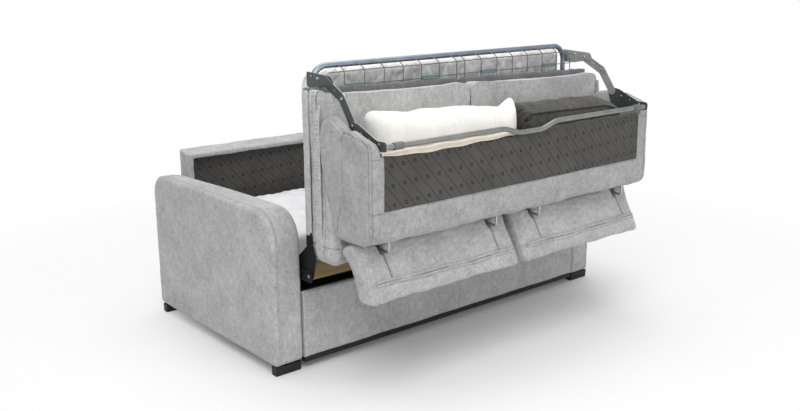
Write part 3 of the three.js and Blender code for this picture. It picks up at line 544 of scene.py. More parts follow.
def plain_cloth(name, colour, crease=0.5):
    """Plain woven cloth: a fine weave, and soft creases whose bump noise also paints the white a little darker
    in their hollows, as painted shade; a mask from the mesh darkens it further.
    """
    g = Graph(name, 0.88, Sheen_Weight=0.15, Specular_IOR_Level=0.25)
    fold = g.noise(g.place((1.5, 1, 0.6)), 9.0, 4.0, 0.55, 0.8)
    weave = g.noise(g.place(), 900.0, 1.0)
    # Painted shade: the crease noise darkens the white a little where its bump is low.
    shade = g.blend(g.range(fold, 0.3, 0.7), scaled(colour, 0.92), scaled(colour, 1.04))
    seam = g.add("Attribute", attribute_name="seam").outputs["Fac"]
    # The mask darkens the cloth: painted shade in creases, folds and hollows, and a darker line beside the
    # mattress's piping.
    shade = g.blend(g.sum("MULTIPLY", seam, 0.35), shade, scaled(colour, 0.45))
    height = g.sum("MULTIPLY_ADD", weave, 0.05, fold)
    return g.finish(shade, None, height, 0.007, crease)


def steel(name, colour, roughness, metallic, wear, gloss=1.0):
    """Coated or plated steel: uneven gloss, faint scratches along the part, and rubbed spots."""
    g = Graph(
        name, roughness, metallic, Coat_Weight=0.2 * gloss, Coat_Roughness=0.25,
        Specular_IOR_Level=0.5 * gloss)
    cloud = g.noise(g.place(), 14.0, 4.0, 0.6)
    scratch = g.noise(g.place((0.08, 1, 1)), 260.0, 2.0)
    rub = g.range(g.noise(g.place(), 55.0, 5.0, 0.7), 0.62, 0.74)
    shade = g.blend(g.range(cloud, 0.3, 0.7), scaled(colour, 0.86), scaled(colour, 1.14))
    shade = g.blend(g.sum("MULTIPLY", rub, wear), shade, scaled(colour, 1.8))
    rough = g.sum("MULTIPLY_ADD", scratch, 0.14, g.range(cloud, 0.3, 0.7, roughness - 0.09, roughness + 0.05))
    return g.finish(shade, rough, scratch, 0.0002, 0.3)


def moulded(name, colour, roughness):
    """Moulded plastic with a fine texture."""
    g = Graph(name, roughness, Specular_IOR_Level=0.45)
    cloud = g.noise(g.place(), 30.0, 3.0)
    grain = g.noise(g.place(), 1100.0, 1.0)
    shade = g.blend(g.range(cloud, 0.3, 0.7), scaled(colour, 0.88), scaled(colour, 1.12))
    return g.finish(shade, g.range(grain, 0.3, 0.7, roughness - 0.08, roughness + 0.1), grain, 0.0004, 0.4)


def timber(name, colour, roughness, spread):
    """Wood: rings stretched along the board, and open pores."""
    g = Graph(name, roughness, Specular_IOR_Level=0.35)
    ring = g.noise(g.place((0.07, 1, 1)), 70.0, 5.0, 0.6, 0.5)
    pore = g.noise(g.place((0.03, 1, 1)), 420.0, 2.0)
    value = g.sum("MULTIPLY_ADD", pore, 0.35, g.sum("MULTIPLY", ring, 0.8))
    shade = g.blend(g.range(value, 0.38, 0.78), scaled(colour, 1 - spread), scaled(colour, 1 + spread))
    return g.finish(shade, g.range(pore, 0.3, 0.7, roughness - 0.07, roughness + 0.1), value, 0.0005, 0.5)


LOOKS = {
    "velour": lambda c: velour("grey_velour", c.velour),
    # Lit and shaded copies of the one velour: the seat's copy is painted lighter as painted light, the
    # backrest's painted darker as painted shade.
    "seat_velour_painted_light": lambda c: velour("seat_velour_painted_light", scaled(c.velour, 1.1)),
    "back_velour_painted_shade": lambda c: velour("back_velour_painted_shade", scaled(c.velour, 0.85)),
    "deck": lambda c: velour("deck_felt", c.deck),
    "lining": lambda c: striped("striped_lining", c.lining),
    "lining_flat": lambda c: striped("striped_lining_flat", c.lining, uv=False),
    "quilt": lambda c: quilted("silver_quilt", c.quilt),
    "ticking": lambda c: plain_cloth("white_ticking", c.ticking, 0.35),
    "cotton": lambda c: plain_cloth("pillow_cotton", c.cotton, 0.6),
    "cream": lambda c: plain_cloth("cream_cotton", c.cream, 0.5),
    "tube": lambda c: steel("tube_coat", c.tube, 0.3, 0.75, 0.3),
    "bed_tube": lambda c: steel("bed_tube_coat", c.bed_tube, 0.26, 0.8, 0.3),
    "wire": lambda c: steel("wire_coat", c.wire, 0.4, 0.6, 0.2),
    "link": lambda c: steel("link_coat", c.link, 0.42, 0.35, 0.35),
    "galvanised": lambda c: steel("galvanised_plate", c.galvanised, 0.38, 0.7, 0.25),
    "bright": lambda c: steel("bright_plating", c.bright, 0.16, 1.0, 0.1),
    "edge": lambda c: steel("cut_edge", c.edge, 0.3, 0.6, 0.2),
    "black": lambda c: steel("black_coat", c.black, 0.3, 0.0, 0.25, 0.4),
    "teal": lambda c: moulded("teal_sleeve", c.teal, 0.42),
    "collar": lambda c: moulded("grey_collar", c.collar, 0.45),
    "dark_wood": lambda c: timber("dark_wood", c.dark_wood, 0.5, 0.35),
    "pale_wood": lambda c: timber("pale_wood", c.pale_wood, 0.62, 0.25),
}


def finish_of(look):
    """The material of a look, made once from the scene's colours."""
    made = bpy.data.materials.get("look_" + look)
    if made is None:
        made = LOOKS[look](bpy.context.scene.sofa_colours)
        made.name = "look_" + look
    return made


# What a user may change
def shade_property(name, shade, description):
    """Colour picker whose default is given in sRGB parts from 0 to 255."""
    return FloatVectorProperty(
        name=name, description=description, default=linear(shade), size=4, min=0, max=1, subtype="COLOR")


def length_property(name, default, description, low=0.0, high=1.0):
    """Length in metres."""
    return FloatProperty(
        name=name, description=description, default=default, min=low, max=high, unit="LENGTH",
        subtype="DISTANCE", precision=4)


class SofaColours(bpy.types.PropertyGroup):
    """Colours of the sofa's cloths, coats and woods"""

    velour: shade_property("Velour", (176, 176, 176), "Cover of arms, seat and backrest")
    lining: shade_property("Lining", (80, 79, 76), "Striped cloth on hidden faces")
    deck: shade_property("Deck felt", (112, 113, 115), "Cloth over the board behind the seat")
    quilt: shade_property("Quilt", (196, 196, 197), "Quilted side of the mattress")
    ticking: shade_property("Ticking", (232, 231, 233), "Plain side of the mattress")
    cotton: shade_property("Cotton", (233, 231, 226), "Pillow")
    cream: shade_property("Cream cotton", (226, 216, 200), "Folded strip under the tube")
    tube: shade_property("Tube", (136, 138, 134), "Backrest's tube")
    bed_tube: shade_property("Bed tube", (136, 145, 158), "Bed's bent tube")
    wire: shade_property("Wire", (106, 106, 106), "Bed's wire mesh")
    link: shade_property("Links", (70, 76, 76), "Painted plates of the linkage")
    galvanised: shade_property("Galvanised", (176, 177, 177), "Unpainted plates at the right")
    bright: shade_property("Bright", (180, 184, 186), "Rods, pins and rivets")
    edge: shade_property("Cut edge", (172, 176, 175), "Edges of the linkage's plates")
    black: shade_property("Black", (15, 16, 17), "Black plates in the base")
    teal: shade_property("Sleeves", (104, 122, 121), "Plastic sleeves on the wire mesh")
    collar: shade_property("Collar", (104, 108, 104), "Collars of the backrest's tube")
    dark_wood: shade_property("Dark wood", (28, 24, 23), "Feet and skirt")
    pale_wood: shade_property("Pale wood", (132, 114, 74), "Seat's front board")


class SofaSizes(bpy.types.PropertyGroup):
    """Sizes that shape the upholstery, the bed and the tubes"""

    arm_edge: length_property("Arm edge", 0.021, "Rounding of the arms' long edges", 0.005, 0.03)
    seam_depth: length_property("Seam depth", 0.003, "How far a seam pulls the cover in", 0.0, 0.01)
    wobble: length_property("Wobble", 0.0012, "Unevenness of a padded face", 0.0, 0.01)
    swelling: length_property("Swelling", 0.024, "Most that a pad's surface moves when it swells", 0.0, 0.03)
    voxel: length_property("Voxel", 0.0065, "Grid size of a pad before it swells", 0.004, 0.02)
    wire: length_property("Wire", 0.0021, "Radius of the mesh wires", 0.001, 0.004)
    quilt_pitch: length_property("Quilt pitch", 0.124, "Width of the quilt's diamonds", 0.05, 0.3)
    quilt_puff: length_property("Quilt puff", 0.010, "Height of the quilt's diamonds", 0.0, 0.02)
    light: FloatProperty(
        name="Light", description="Strength of the studio lamps, where 1 is full", default=1.0, min=0, max=3)
    tube_sides: IntProperty(
        name="Tube sides", description="Facets round each tube", default=24, min=8, max=64)


# Base
class SOFA_OT_arms(bpy.types.Operator):
    """Padded arms: a rounded outline carried across, with a seam 30 mm in from the outer face"""

    bl_idname = "sofa.arms"
    bl_label = "Arms"

    def execute(self, context):
        size = context.scene.sofa_sizes
        low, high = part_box("left_arm")
        outline = evenly(rounded([
            (low.y, low.z, 0.024), (high.y + 0.010, low.z, 0.024),
            (high.y + 0.010, high.z, 0.095), (low.y, high.z, 0.128)], 16), 420)
        for side, sign in SIDES:
            seam_at = ARM_OUTER - 0.030
            inner = np.concatenate([
                np.linspace(ARM_INNER + 0.03, seam_at - 0.012, 14), seam_at + np.linspace(-0.009, 0.009, 13)])
            x, inset = edge_stations(ARM_INNER, ARM_OUTER - 0.002, size.arm_edge, inner)
            rings = slab(outline, sign * x, inset, 0.0035)
            points, quads, fans = ringed(rings)
            made = piece(
                f"{side}_arm_cover", points, quads, fans, body="base", slot="grey_fabric", look="velour")

            def work(p, n, sign=sign, seam_at=seam_at):
                outer = np.abs(p[:, 0])
                line = hump(outer - seam_at, 0.004) * (p[:, 2] > low.z + 0.012)
                line *= 1 - 0.75 * smooth((0.62 - p[:, 2]) / 0.08) * (p[:, 1] < low.y + 0.2)
                puff = hump(outer - seam_at - 0.014, 0.011) - 0.2 * hump(outer - seam_at + 0.02, 0.012)
                free = smooth((outer - ARM_INNER - 0.006) / 0.02)
                lift = size.wobble * ripple(p, 0.17, 3) + 0.0008 * ripple(p, 0.05, 4)
                p = p + n * ((lift + 0.0016 * puff) * free - size.seam_depth * line)[:, None]
                slope = smooth((p[:, 1] - low.y - 0.35) / 0.6) * (1 - smooth((outer - ARM_INNER) / 0.09))
                p[:, 2] -= 0.013 * slope * smooth((p[:, 2] - 0.60) / 0.06)
                p[:, 2] = np.maximum(p[:, 2], low.z)
                return p, line * 0.42

            reshape(made, work)
            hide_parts(f"{side}_arm")
        return {"FINISHED"}


class SOFA_OT_base(bpy.types.Operator):
    """Front rail with a faint upright seam, skirt, feet and floor board"""

    bl_idname = "sofa.base"
    bl_label = "Front rail and feet"

    def execute(self, context):
        low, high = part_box("front_rail")
        outline = evenly(rounded([
            (low.y, low.z, 0.008), (high.y, low.z, 0.008), (high.y, high.z, 0.011),
            (low.y, high.z, 0.011)], 8), 150)
        x = np.unique(np.concatenate([np.linspace(low.x, high.x, 240), np.linspace(0.025, 0.045, 13)]))
        points, quads, fans = ringed(slab(outline, x, np.zeros(len(x)), 0.0))
        made = piece("front_rail_cover", points, quads, fans, body="base", slot="grey_fabric", look="velour")

        def work(p, n):
            line = hump(p[:, 0] - 0.035, 0.0035) * (n[:, 1] < -0.3)
            ends = smooth((high.x - np.abs(p[:, 0])) / 0.01)
            lift = (0.0012 * ripple(p, 0.22, 11) + 0.0006 * ripple(p, 0.05, 12)) * (n[:, 1] < 0)
            return p + n * ((lift - 0.0015 * line) * ends)[:, None], 0.3 * line

        reshape(made, work)
        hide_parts("front_rail")
        feet = [f"foot_{end}_{side}" for end in ("front", "rear") for side in ("left", "right")]
        for node in feet + ["front_skirt"]:
            softened(node, node + "_dressed", "dark_wood", 0.002)
        dress("lining_flat", "dark_lining", "base_board")
        return {"FINISHED"}


class SOFA_OT_rear_panel(bpy.types.Operator):
    """Rear wall of the base: a padded frame round a recess, and the striped cloth in it"""

    bl_idname = "sofa.rear_panel"
    bl_label = "Rear panel"

    def execute(self, context):
        low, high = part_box("rear_panel")
        lining_low, lining_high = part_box("rear_lining")
        front = low.y
        back_lip = lining_low.y + 0.016
        # A profile across the border, from the lining out over the front edge and down the rear:
        # (share of the way from recess edge to outer edge, y, 1 where it is the rear face)
        hole = [lining_low.x - 0.020, lining_high.x + 0.020, lining_low.z, 0.762]
        front_top, rear_top = 0.788, 0.803
        t = np.linspace(0, np.pi / 2, 7)
        roll = 0.012
        profile = np.concatenate([
            [[0.0, back_lip]],
            np.stack([roll * (1 - np.cos(t)), front + roll - roll * np.sin(t)], 1),
            [[0.0135, front], [0.0150, front]]])
        span_x = high.x - hole[1]
        outer = 0.013
        loop = evenly(rounded([
            (hole[0], hole[2], 0.004), (hole[1], hole[2], 0.004),
            (hole[1], hole[3], 0.004), (hole[0], hole[3], 0.004)], 6), 560)

        def at(share, y, rear=False):
            """Loop scaled from the recess's edge (share 0) to the panel's outline (share 1)."""
            reach = np.array([[low.x, low.z], [high.x, rear_top if rear else front_top]])
            inner = np.array([[hole[0], hole[2]], [hole[1], hole[3]]])
            now = inner + (reach - inner) * share
            unit = (loop - inner[0]) / (inner[1] - inner[0])
            flat = now[0] + unit * (now[1] - now[0])
            return np.stack([flat[:, 0], np.full(len(flat), y), flat[:, 1]], 1)

        rings = [at(max(0, s / span_x), y) for s, y in profile]
        rings.append(at(1 - outer / span_x - 0.05, front))
        for a in np.linspace(0, np.pi / 2, 7):
            rings.append(at(1 - outer / span_x * (1 - np.sin(a)), front + outer * (1 - np.cos(a))))
        depth = high.y - front
        for s in np.linspace(0.25, 0.8, 5):
            ring = at(1, front + depth * s)
            slope = (rear_top - front_top) * (depth * s - outer) / (depth - outer)
            ring[:, 2] += np.where(ring[:, 2] > 0.6, slope, 0)
            rings.append(ring)
        for a in np.linspace(0, np.pi / 2, 7):
            share = 1 - 0.9 * outer / span_x * (1 - np.cos(a))
            rings.append(at(share, high.y - outer * (1 - np.sin(a)), True))
        middle = np.array([0, high.y, (low.z + rear_top) / 2])
        last = rings[-1]
        for s in np.linspace(1, 0, 14)[1:-1]:
            rings.append(middle + (last - middle) * s)
        rings = np.array(rings)
        back = rings[:1].copy()
        back[..., 1] += 0.006
        rings = np.concatenate([back, rings])
        points, quads, fans = ringed(rings)
        made = piece("rear_panel_cover", points, quads, fans, body="base", slot="grey_fabric", look="velour")

        def work(p, n):
            free = smooth((high.x - np.abs(p[:, 0])) / 0.02) * (p[:, 1] < high.y + 1)
            lift = (0.0014 * ripple(p, 0.16, 21) + 0.0008 * ripple(p, 0.05, 22)) * free
            return p + n * lift[:, None], np.zeros(len(p))

        reshape(made, work)
        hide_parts("rear_panel")
        cloth_x = np.linspace(hole[0] + 0.002, hole[1] - 0.002, 150)
        cloth_z = np.linspace(hole[2] + 0.002, hole[3] - 0.002, 60)
        gx, gz = np.meshgrid(cloth_x, cloth_z, indexing="ij")
        flat = np.stack([gx, np.full(gx.shape, back_lip - 0.001), gz], -1)
        sag = ripple(flat, 0.28, 23) * 0.0018 + ripple(flat * [1, 1, 0.4], 0.09, 24) * 0.0007
        flat[..., 1] -= 0.003 + sag
        sheet = piece(
            "rear_lining_cloth", flat.reshape(-1, 3), grid_faces(150, 60)[:, ::-1], body="base",
            slot="dark_lining", look="lining", uv=np.stack([gx, gz], -1).reshape(-1, 2))
        modified(sheet, "SOLIDIFY", thickness=0.0015, offset=-1)
        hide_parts("rear_lining")
        return {"FINISHED"}


class SOFA_OT_plates(bpy.types.Operator):
    """Black steel of the base and tilt: plates, pins, torque tube and cross bar"""

    bl_idname = "sofa.plates"
    bl_label = "Base plates and pins"

    def execute(self, context):
        for side, _ in SIDES:
            for node in (f"base_plate_{side}", f"tilt_arm_{side}", f"seat_plate_{side}", f"lift_link_{side}"):
                softened(node, node + "_dressed", "black", 0.0006)
            dress("bright", "bright_steel", f"tilt_pin_{side}", f"lift_pin_{side}")
        sides = context.scene.sofa_sizes.tube_sides
        for node in ("torque_tube", "base_cross_bar"):
            low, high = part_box(node)
            middle = (low + high) / 2
            x = np.linspace(low.x + 0.002, high.x - 0.002, 60)
            path = np.stack([x, np.full(60, middle.y), np.full(60, middle.z)], 1)
            made = piece(
                node + "_smooth", *tube(path, (high.z - low.z) / 2, sides, dome=0.15),
                body=frame["nodes"][node]["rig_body"], slot="black_steel", look="black")
            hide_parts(node)
        return {"FINISHED"}


# Seat
class SOFA_OT_seat(bpy.types.Operator):
    """Seat: a cloth-covered deck board, its pale front board, and two stuffed cushions"""

    bl_idname = "sofa.seat"
    bl_label = "Seat"

    def execute(self, context):
        size = context.scene.sofa_sizes
        low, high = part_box("seat_deck")
        points, quads, unit = block(high - low, 0.005, (180, 4, 90))
        points += np.array((low + high) / 2)
        uv = points[:, [0, 2]] + np.stack([np.zeros(len(points)), points[:, 1] - low.y], 1)
        deck = piece("deck_cover", points, quads, body="seat", slot="dark_lining", look="deck", uv=uv)

        def crumple(p, n):
            top = smooth((p[:, 2] - high.z + 0.05) / 0.05)
            notch = hump(p[:, 0] + 0.022, 0.009)
            bend = 0.0022 * ripple(p * [1, 0.2, 0.6], 0.07, 31) * top
            p = p + n * (bend * np.where(n[:, 1] > 0.5, 0, 1))[:, None]
            ragged = 0.0022 * ripple(p, 0.30, 32) + 0.0018 * ripple(p * [1, 0, 0], 0.05, 34)
            p[:, 2] += (ragged + lean(p[:, 0]) - 0.006 - 0.014 * notch) * top
            # The notch's dip is painted darker as painted shade; the top also gets darker specks where a
            # ripple passes 0.75.
            return p, 0.8 * notch * top + 0.35 * top * (ripple(p * [1, 0.2, 1], 0.05, 33) > 0.75)

        reshape(deck, crumple)
        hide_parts("seat_deck")
        softened("seat_front_board", "front_board_dressed", "pale_wood", 0.0015)
        for side, sign in SIDES:
            self.cushion(size, side, sign)
            self.edge(low, high, side, sign)
            self.gather(side, sign)
        return {"FINISHED"}

    def edge(self, low, high, side, sign):
        """Strip of the seat's cover that closes the board's side between cushion and mattress."""
        top = 1.168 if sign < 0 else 1.060
        points, quads, unit = block((0.010, 0.036, top - 0.593), 0.0045, (4, 10, 60))
        points[:, 0] += 0.0012 * ripple(points * [0, 1, 1], 0.09, 35)
        points += [sign * (SEAT_HALF - 0.0015), high.y - 0.016, (top + 0.593) / 2]
        points[:, 2] += lean(points[:, 0]) * smooth((points[:, 2] - 1.0) / 0.1)
        made = piece(
            f"seat_edge_{side}", points, quads, body="seat", slot="grey_fabric", look="seat_velour_painted_light")

    def gather(self, side, sign):
        """Gathered strip on a cushion's outer side: ridges 13 mm apart, 2.6 mm high in its middle
        and none at its borders. The valleys between the ridges are painted darker, as painted shade."""
        points, quads, unit = block((0.005, 0.040, 0.60), 0.002, (2, 14, 440))
        y, z = points[:, 1].copy(), points[:, 2] + 0.82
        sink = 0.006 * smooth((np.abs(points[:, 2]) - 0.25) / 0.05)
        phase = z * 2 * np.pi / 0.013 + 2.4 * np.sin(z * 33) + 1.3 * np.sin(z * 71) + y * 60
        uneven = ripple(points * [0, 0.4, 1], 0.10, 45).clip(-1, 1)
        height = np.cos(unit[:, 1] * np.pi / 2) * (0.6 + 0.4 * uneven)
        points[:, 0] += sign * (0.0016 * np.sin(phase) * height + 0.0010 * height - sink)
        points += [sign * (SEAT_HALF - 0.0018), FRONT - 0.118, 0.82]
        points[:, 2] += lean(points[:, 0]) * smooth((points[:, 2] - 1.0) / 0.15)
        # Painted shade in the valleys between the ridges goes to the mask.
        made = piece(
            f"seat_gather_{side}", points, quads, body="seat", slot="grey_fabric", look="seat_velour_painted_light",
            seam=0.34 * smooth(-np.sin(phase)) * height.clip(0, 1))

    def cushion(self, size, side, sign):
        """Rounded box drawn in by 5 to 7 mm, swollen, then held between deck and pressed line.
        Its outer side is a gathered strip: ridges 13 mm apart that fade away from the seams, with painted
        shade in the valleys between them."""
        low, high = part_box(f"seat_cushion_{side}")
        rear = high.y
        draw = 0.005
        full = high - low - Vector((2 * draw, 0, 2 * draw))
        points, quads, unit = block(full, 0.040, (100, 18, 78))
        u, v = unit[:, 0], unit[:, 2]
        points[:, 0] -= np.sign(u) * 0.007 * np.abs(u) ** 3 * (1 - v**2)
        points[:, 2] -= np.sign(v) * 0.005 * np.abs(v) ** 3 * (1 - u**2)
        points += np.array((low + high) / 2)
        deep = full.y / 2
        points[:, 1] = np.interp(
            points[:, 1] - (low.y + high.y) / 2, [-deep, 0, deep - 0.040, deep],
            [-deep, 0, deep - 0.011, deep]) + (low.y + high.y) / 2
        made = piece(
            f"seat_cushion_{side}_cover", points, quads, body="seat", slot="grey_fabric", look="seat_velour_painted_light")
        swell(made, size.swelling * 0.6, size.voxel * 1.25)
        inner_edge = low.x if sign > 0 else -high.x
        outer_edge = SEAT_HALF

        def work(p, n):
            p = p.copy()
            p[:, 2] += (high.z - 0.002 - p[:, 2].max()) * smooth((p[:, 2] - 0.80) / 0.25)
            span = p[:, 0] * sign
            wider = (outer_edge - span.max()) * smooth((span - 0.55) / 0.25)
            p[:, 0] += sign * (wider + (inner_edge - span.min()) * smooth((0.30 - span) / 0.25))
            x, y, z = np.abs(p[:, 0]), p[:, 1], p[:, 2]
            side_face = smooth((np.abs(n[:, 0]) - 0.55) / 0.3) * (p[:, 0] * sign > inner_edge + 0.2)
            cross = hump(z - 0.570, 0.0045)
            near_seam = hump(y - (FRONT - 0.096), 0.014) + hump(y - (FRONT - 0.140), 0.014)
            gather = np.sin(z * 2 * np.pi / 0.0135 + 2.2 * np.sin(z * 31) + 40 * (y - FRONT))
            strip = side_face * near_seam * (z > 0.50)
            edge_seam = side_face * (hump(y - (FRONT - 0.088), 0.004) + hump(y - (FRONT - 0.150), 0.004))
            front_face = smooth((-n[:, 1] - 0.5) / 0.3)
            lift = 0.0014 * gather * strip + 0.0012 * ripple(p, 0.11, 41 + int(sign > 0))
            lift += 0.003 * ripple(p * [1, 0.3, 0.5], 0.16, 43) * front_face * (1 - hump(x - 0.43, 0.5) * 0.5)
            lift -= 0.004 * (cross * (side_face + front_face)) + 0.0028 * edge_seam
            p = p + n * lift[:, None]
            p[:, 1] = np.clip(p[:, 1], press_line(z) - 0.0005, rear)
            p[:, 0] = sign * np.clip(p[:, 0] * sign, inner_edge - 0.0012, outer_edge + 0.001)
            p[:, 0] -= 0.022 * (1 - smooth(np.abs(p[:, 0]) / 0.35))
            corner = smooth((-p[:, 0] - SEAT_HALF + 0.055) / 0.040)
            p[:, 2] += lean(p[:, 0]) * smooth((z - 1.0) / 0.15) + 0.020 * corner * smooth((z - 1.02) / 0.12)
            seam = 0.4 * cross * (side_face + front_face) + 0.42 * edge_seam
            # Painted shade in the gathered strip's valleys.
            seam += 0.2 * strip * smooth(-gather)
            return p, seam

        reshape(made, work)
        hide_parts(f"seat_cushion_{side}")


# Bed
class SOFA_OT_bed(bpy.types.Operator):
    """Bed frame that stands behind the seat: bent tube, wire mesh with bent tails, sleeves"""

    bl_idname = "sofa.bed"
    bl_label = "Bed frame and mesh"

    def execute(self, context):
        size = context.scene.sofa_sizes
        low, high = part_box("bed_frame_loop")
        radius = (high.y - low.y) / 2
        middle_y = (low.y + high.y) / 2
        loop = evenly(rounded([
            (low.x + radius, low.z + radius, 0.072), (high.x - radius, low.z + radius, 0.072),
            (high.x - radius, high.z - radius, 0.072), (low.x + radius, high.z - radius, 0.072)], 16), 620)
        path = np.stack([loop[:, 0], np.full(len(loop), middle_y), loop[:, 1]], 1)
        made = piece(
            "bed_tube", *tube(path, radius, size.tube_sides, closed=True, lean=(0, 1, 0)),
            body="seat", slot="grey_steel", look="bed_tube")
        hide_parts("bed_frame_loop")
        self.mesh(size, middle_y, radius, high)
        for node in ("outer_left", "inner_left", "inner_right", "outer_right"):
            self.sleeve("mesh_sleeve_" + node)
        dress("wire", "grey_steel", "head_frame")
        return {"FINISHED"}

    def mesh(self, size, tube_y, tube_radius, tube_high):
        """Upright wires run up to the highest level wire, bend back over a curve and end on the
        tube; level wires lie behind them."""
        low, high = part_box("bed_mesh")
        plane = low.y + 0.002
        reach = high.x - 0.002
        centre_gap, count = 0.025, 7
        places = np.append(centre_gap + np.arange(count) * (reach - centre_gap) / count, reach)
        top = tube_high.z - tube_radius
        bend = np.linspace(0, 1, 9)[:, None]
        parts = []
        for x in np.concatenate([-places[::-1], places]):
            end_z = top - (0.032 if abs(x) > reach - 0.01 else 0.0)
            knee = np.array([x, plane, end_z - 0.034])
            tip = np.array([x, tube_y - tube_radius * 0.5, end_z - 0.003])
            control = np.array([x, plane, end_z - 0.006])
            curve = (1 - bend) ** 2 * knee + 2 * bend * (1 - bend) * control + bend**2 * tip
            straight = np.array([[x, plane, z] for z in np.linspace(low.z + 0.002, knee[2] - 0.01, 6)])
            parts.append(tube(np.vstack([straight, curve]), size.wire, 8, lean=(1, 0, 0)))
        rows = top - 0.024 - np.array([0, 0.058, 0.160, 0.262, 0.364, 0.466, 0.560])
        for k, z in enumerate(rows):
            half = reach - (0.028 if k == 0 else 0.0) + 0.004
            xs = np.linspace(-half, half, 40)
            sag = 0.0012 * np.sin(xs * 9 + k)
            path = np.stack([xs, np.full(40, plane + size.wire * 0.8), z + sag], 1)
            parts.append(tube(path, size.wire, 8))
        points, quads, fans, start = [], [], [], 0
        for p, q, f in parts:
            points.append(p)
            quads.append(q + start)
            fans.append(f + start)
            start += len(p)
        made = piece(
            "wire_mesh", np.concatenate(points), np.concatenate(quads), np.concatenate(fans),
            body="seat", slot="grey_steel", look="wire")
        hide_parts("bed_mesh")

    def sleeve(self, node):
        """A soft-edged plastic clip: its face dips along the wire and rounds over at both edges."""
        low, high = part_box(node)
        length = high.x - low.x + 0.012
        points, quads, unit = block((length, high.y - low.y, 0.020), 0.005, (24, 6, 10))
        points[:, 1] += 0.0022 * hump(unit[:, 2], 0.35) * (unit[:, 1] < 0)
        points += np.array((low + high) / 2) - [0.008, 0, 0.011]
        made = piece(node + "_moulded", points, quads, body="seat", slot="teal_plastic", look="teal")
        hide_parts(node)


class SOFA_OT_mattress(bpy.types.Operator):
    """Both sections of the mattress, quilted in diamonds"""

    bl_idname = "sofa.mattress"
    bl_label = "Mattress"

    def execute(self, context):
        size = context.scene.sofa_sizes
        low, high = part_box("mattress_upper")
        points, quads, unit = block(high - low, 0.034, (250, 22, 120))
        points += np.array((low + high) / 2)
        made = piece("mattress_upper_cover", points, quads, body="seat", slot="quilt_ticking", look="quilt")

        corner = 0.080

        def diamonds(p, n):
            """Puffs of height |sin(pi a)| |sin(pi b)| between lines a = u + v and b = u - v. The
            upper corner at the left runs round a quarter circle of 80 mm."""
            along = np.where(np.abs(n[:, 2]) > 0.7, p[:, 1], p[:, 2])
            a = p[:, 0] / size.quilt_pitch + along / (size.quilt_pitch * 1.0)
            b = p[:, 0] / size.quilt_pitch - along / (size.quilt_pitch * 1.0)
            puff = np.sqrt(np.abs(np.sin(np.pi * a) * np.sin(np.pi * b)) + 1e-6)
            line = 1 - smooth(puff / 0.22)
            fold = 0.005 * ripple(p * [1, 1, 0.4], 0.12, 51) + 0.002 * ripple(p, 0.04, 52)
            lift = (puff - 0.75) * size.quilt_puff + fold
            lift *= 1 - 0.85 * smooth((np.abs(n[:, 0]) - 0.35) / 0.3)
            p = p + n * lift[:, None]
            p[:, 1] = np.clip(p[:, 1], low.y - 0.0002, high.y + 0.004)
            bend = np.clip(p[:, 2] - high.z + corner, 0, corner)
            draw = 0.020 * (-low.x) + corner - np.sqrt(corner**2 - bend**2)
            p[:, 0] += draw * ((-p[:, 0] + low.x + 0.30) / 0.30).clip(0, 1)
            # The stitched lines go to the mask, which the quilt paints lighter as painted highlight.
            return p, 0.55 * line

        reshape(made, diamonds)
        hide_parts("mattress_upper")
        self.head(size)
        return {"FINISHED"}

    def head(self, size):
        """White top with one diagonal crease, painted darker as painted shade; a piped border with a darker
        line just in front of it; and a quilted strip at the rear edge whose hollows are painted darker as
        painted shade.
        """
        low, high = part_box("mattress_head")
        points, quads, unit = block(high - low, 0.030, (200, 100, 20))
        points += np.array((low + high) / 2)
        made = piece(
            "mattress_head_cover", points, quads, body="bed_head", slot="white_ticking", look="ticking")
        rear_line = high.y - 0.085

        def work(p, n):
            up = smooth((n[:, 2] - 0.5) / 0.3)
            crease = (p[:, 0] + 0.62) * 0.62 + (p[:, 1] - 0.46) * 0.78
            long_crease = hump(crease, 0.012) * hump(p[:, 0] + 0.60, 0.22)
            pipe = hump(p[:, 1] - rear_line, 0.005) * up
            strip = smooth((p[:, 1] - rear_line - 0.006) / 0.006)
            a = (p[:, 0] + p[:, 1]) / 0.05
            b = (p[:, 0] - p[:, 1]) / 0.05
            puff = np.sqrt(np.abs(np.sin(np.pi * a) * np.sin(np.pi * b)) + 1e-6) - 0.6
            lift = 0.003 * pipe + 0.004 * puff * strip * up
            lift += (0.003 * ripple(p * [1, 1, 0.3], 0.22, 61) + 0.0012 * ripple(p, 0.07, 62)) * up
            lift -= 0.006 * long_crease * up
            lift += 0.018 * smooth((p[:, 1] - high.y + 0.30) / 0.24) * up
            p = p + n * lift[:, None]
            p[:, 2] = np.maximum(p[:, 2], low.z)
            # Painted shade in the diagonal crease and in the quilted strip's hollows; a darker line just in
            # front of the piping.
            seam = 0.5 * long_crease * up + 0.35 * hump(p[:, 1] - rear_line + 0.007, 0.003) * up
            return p, seam + 0.25 * strip * (puff < -0.35)

        reshape(made, work)
        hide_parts("mattress_head")


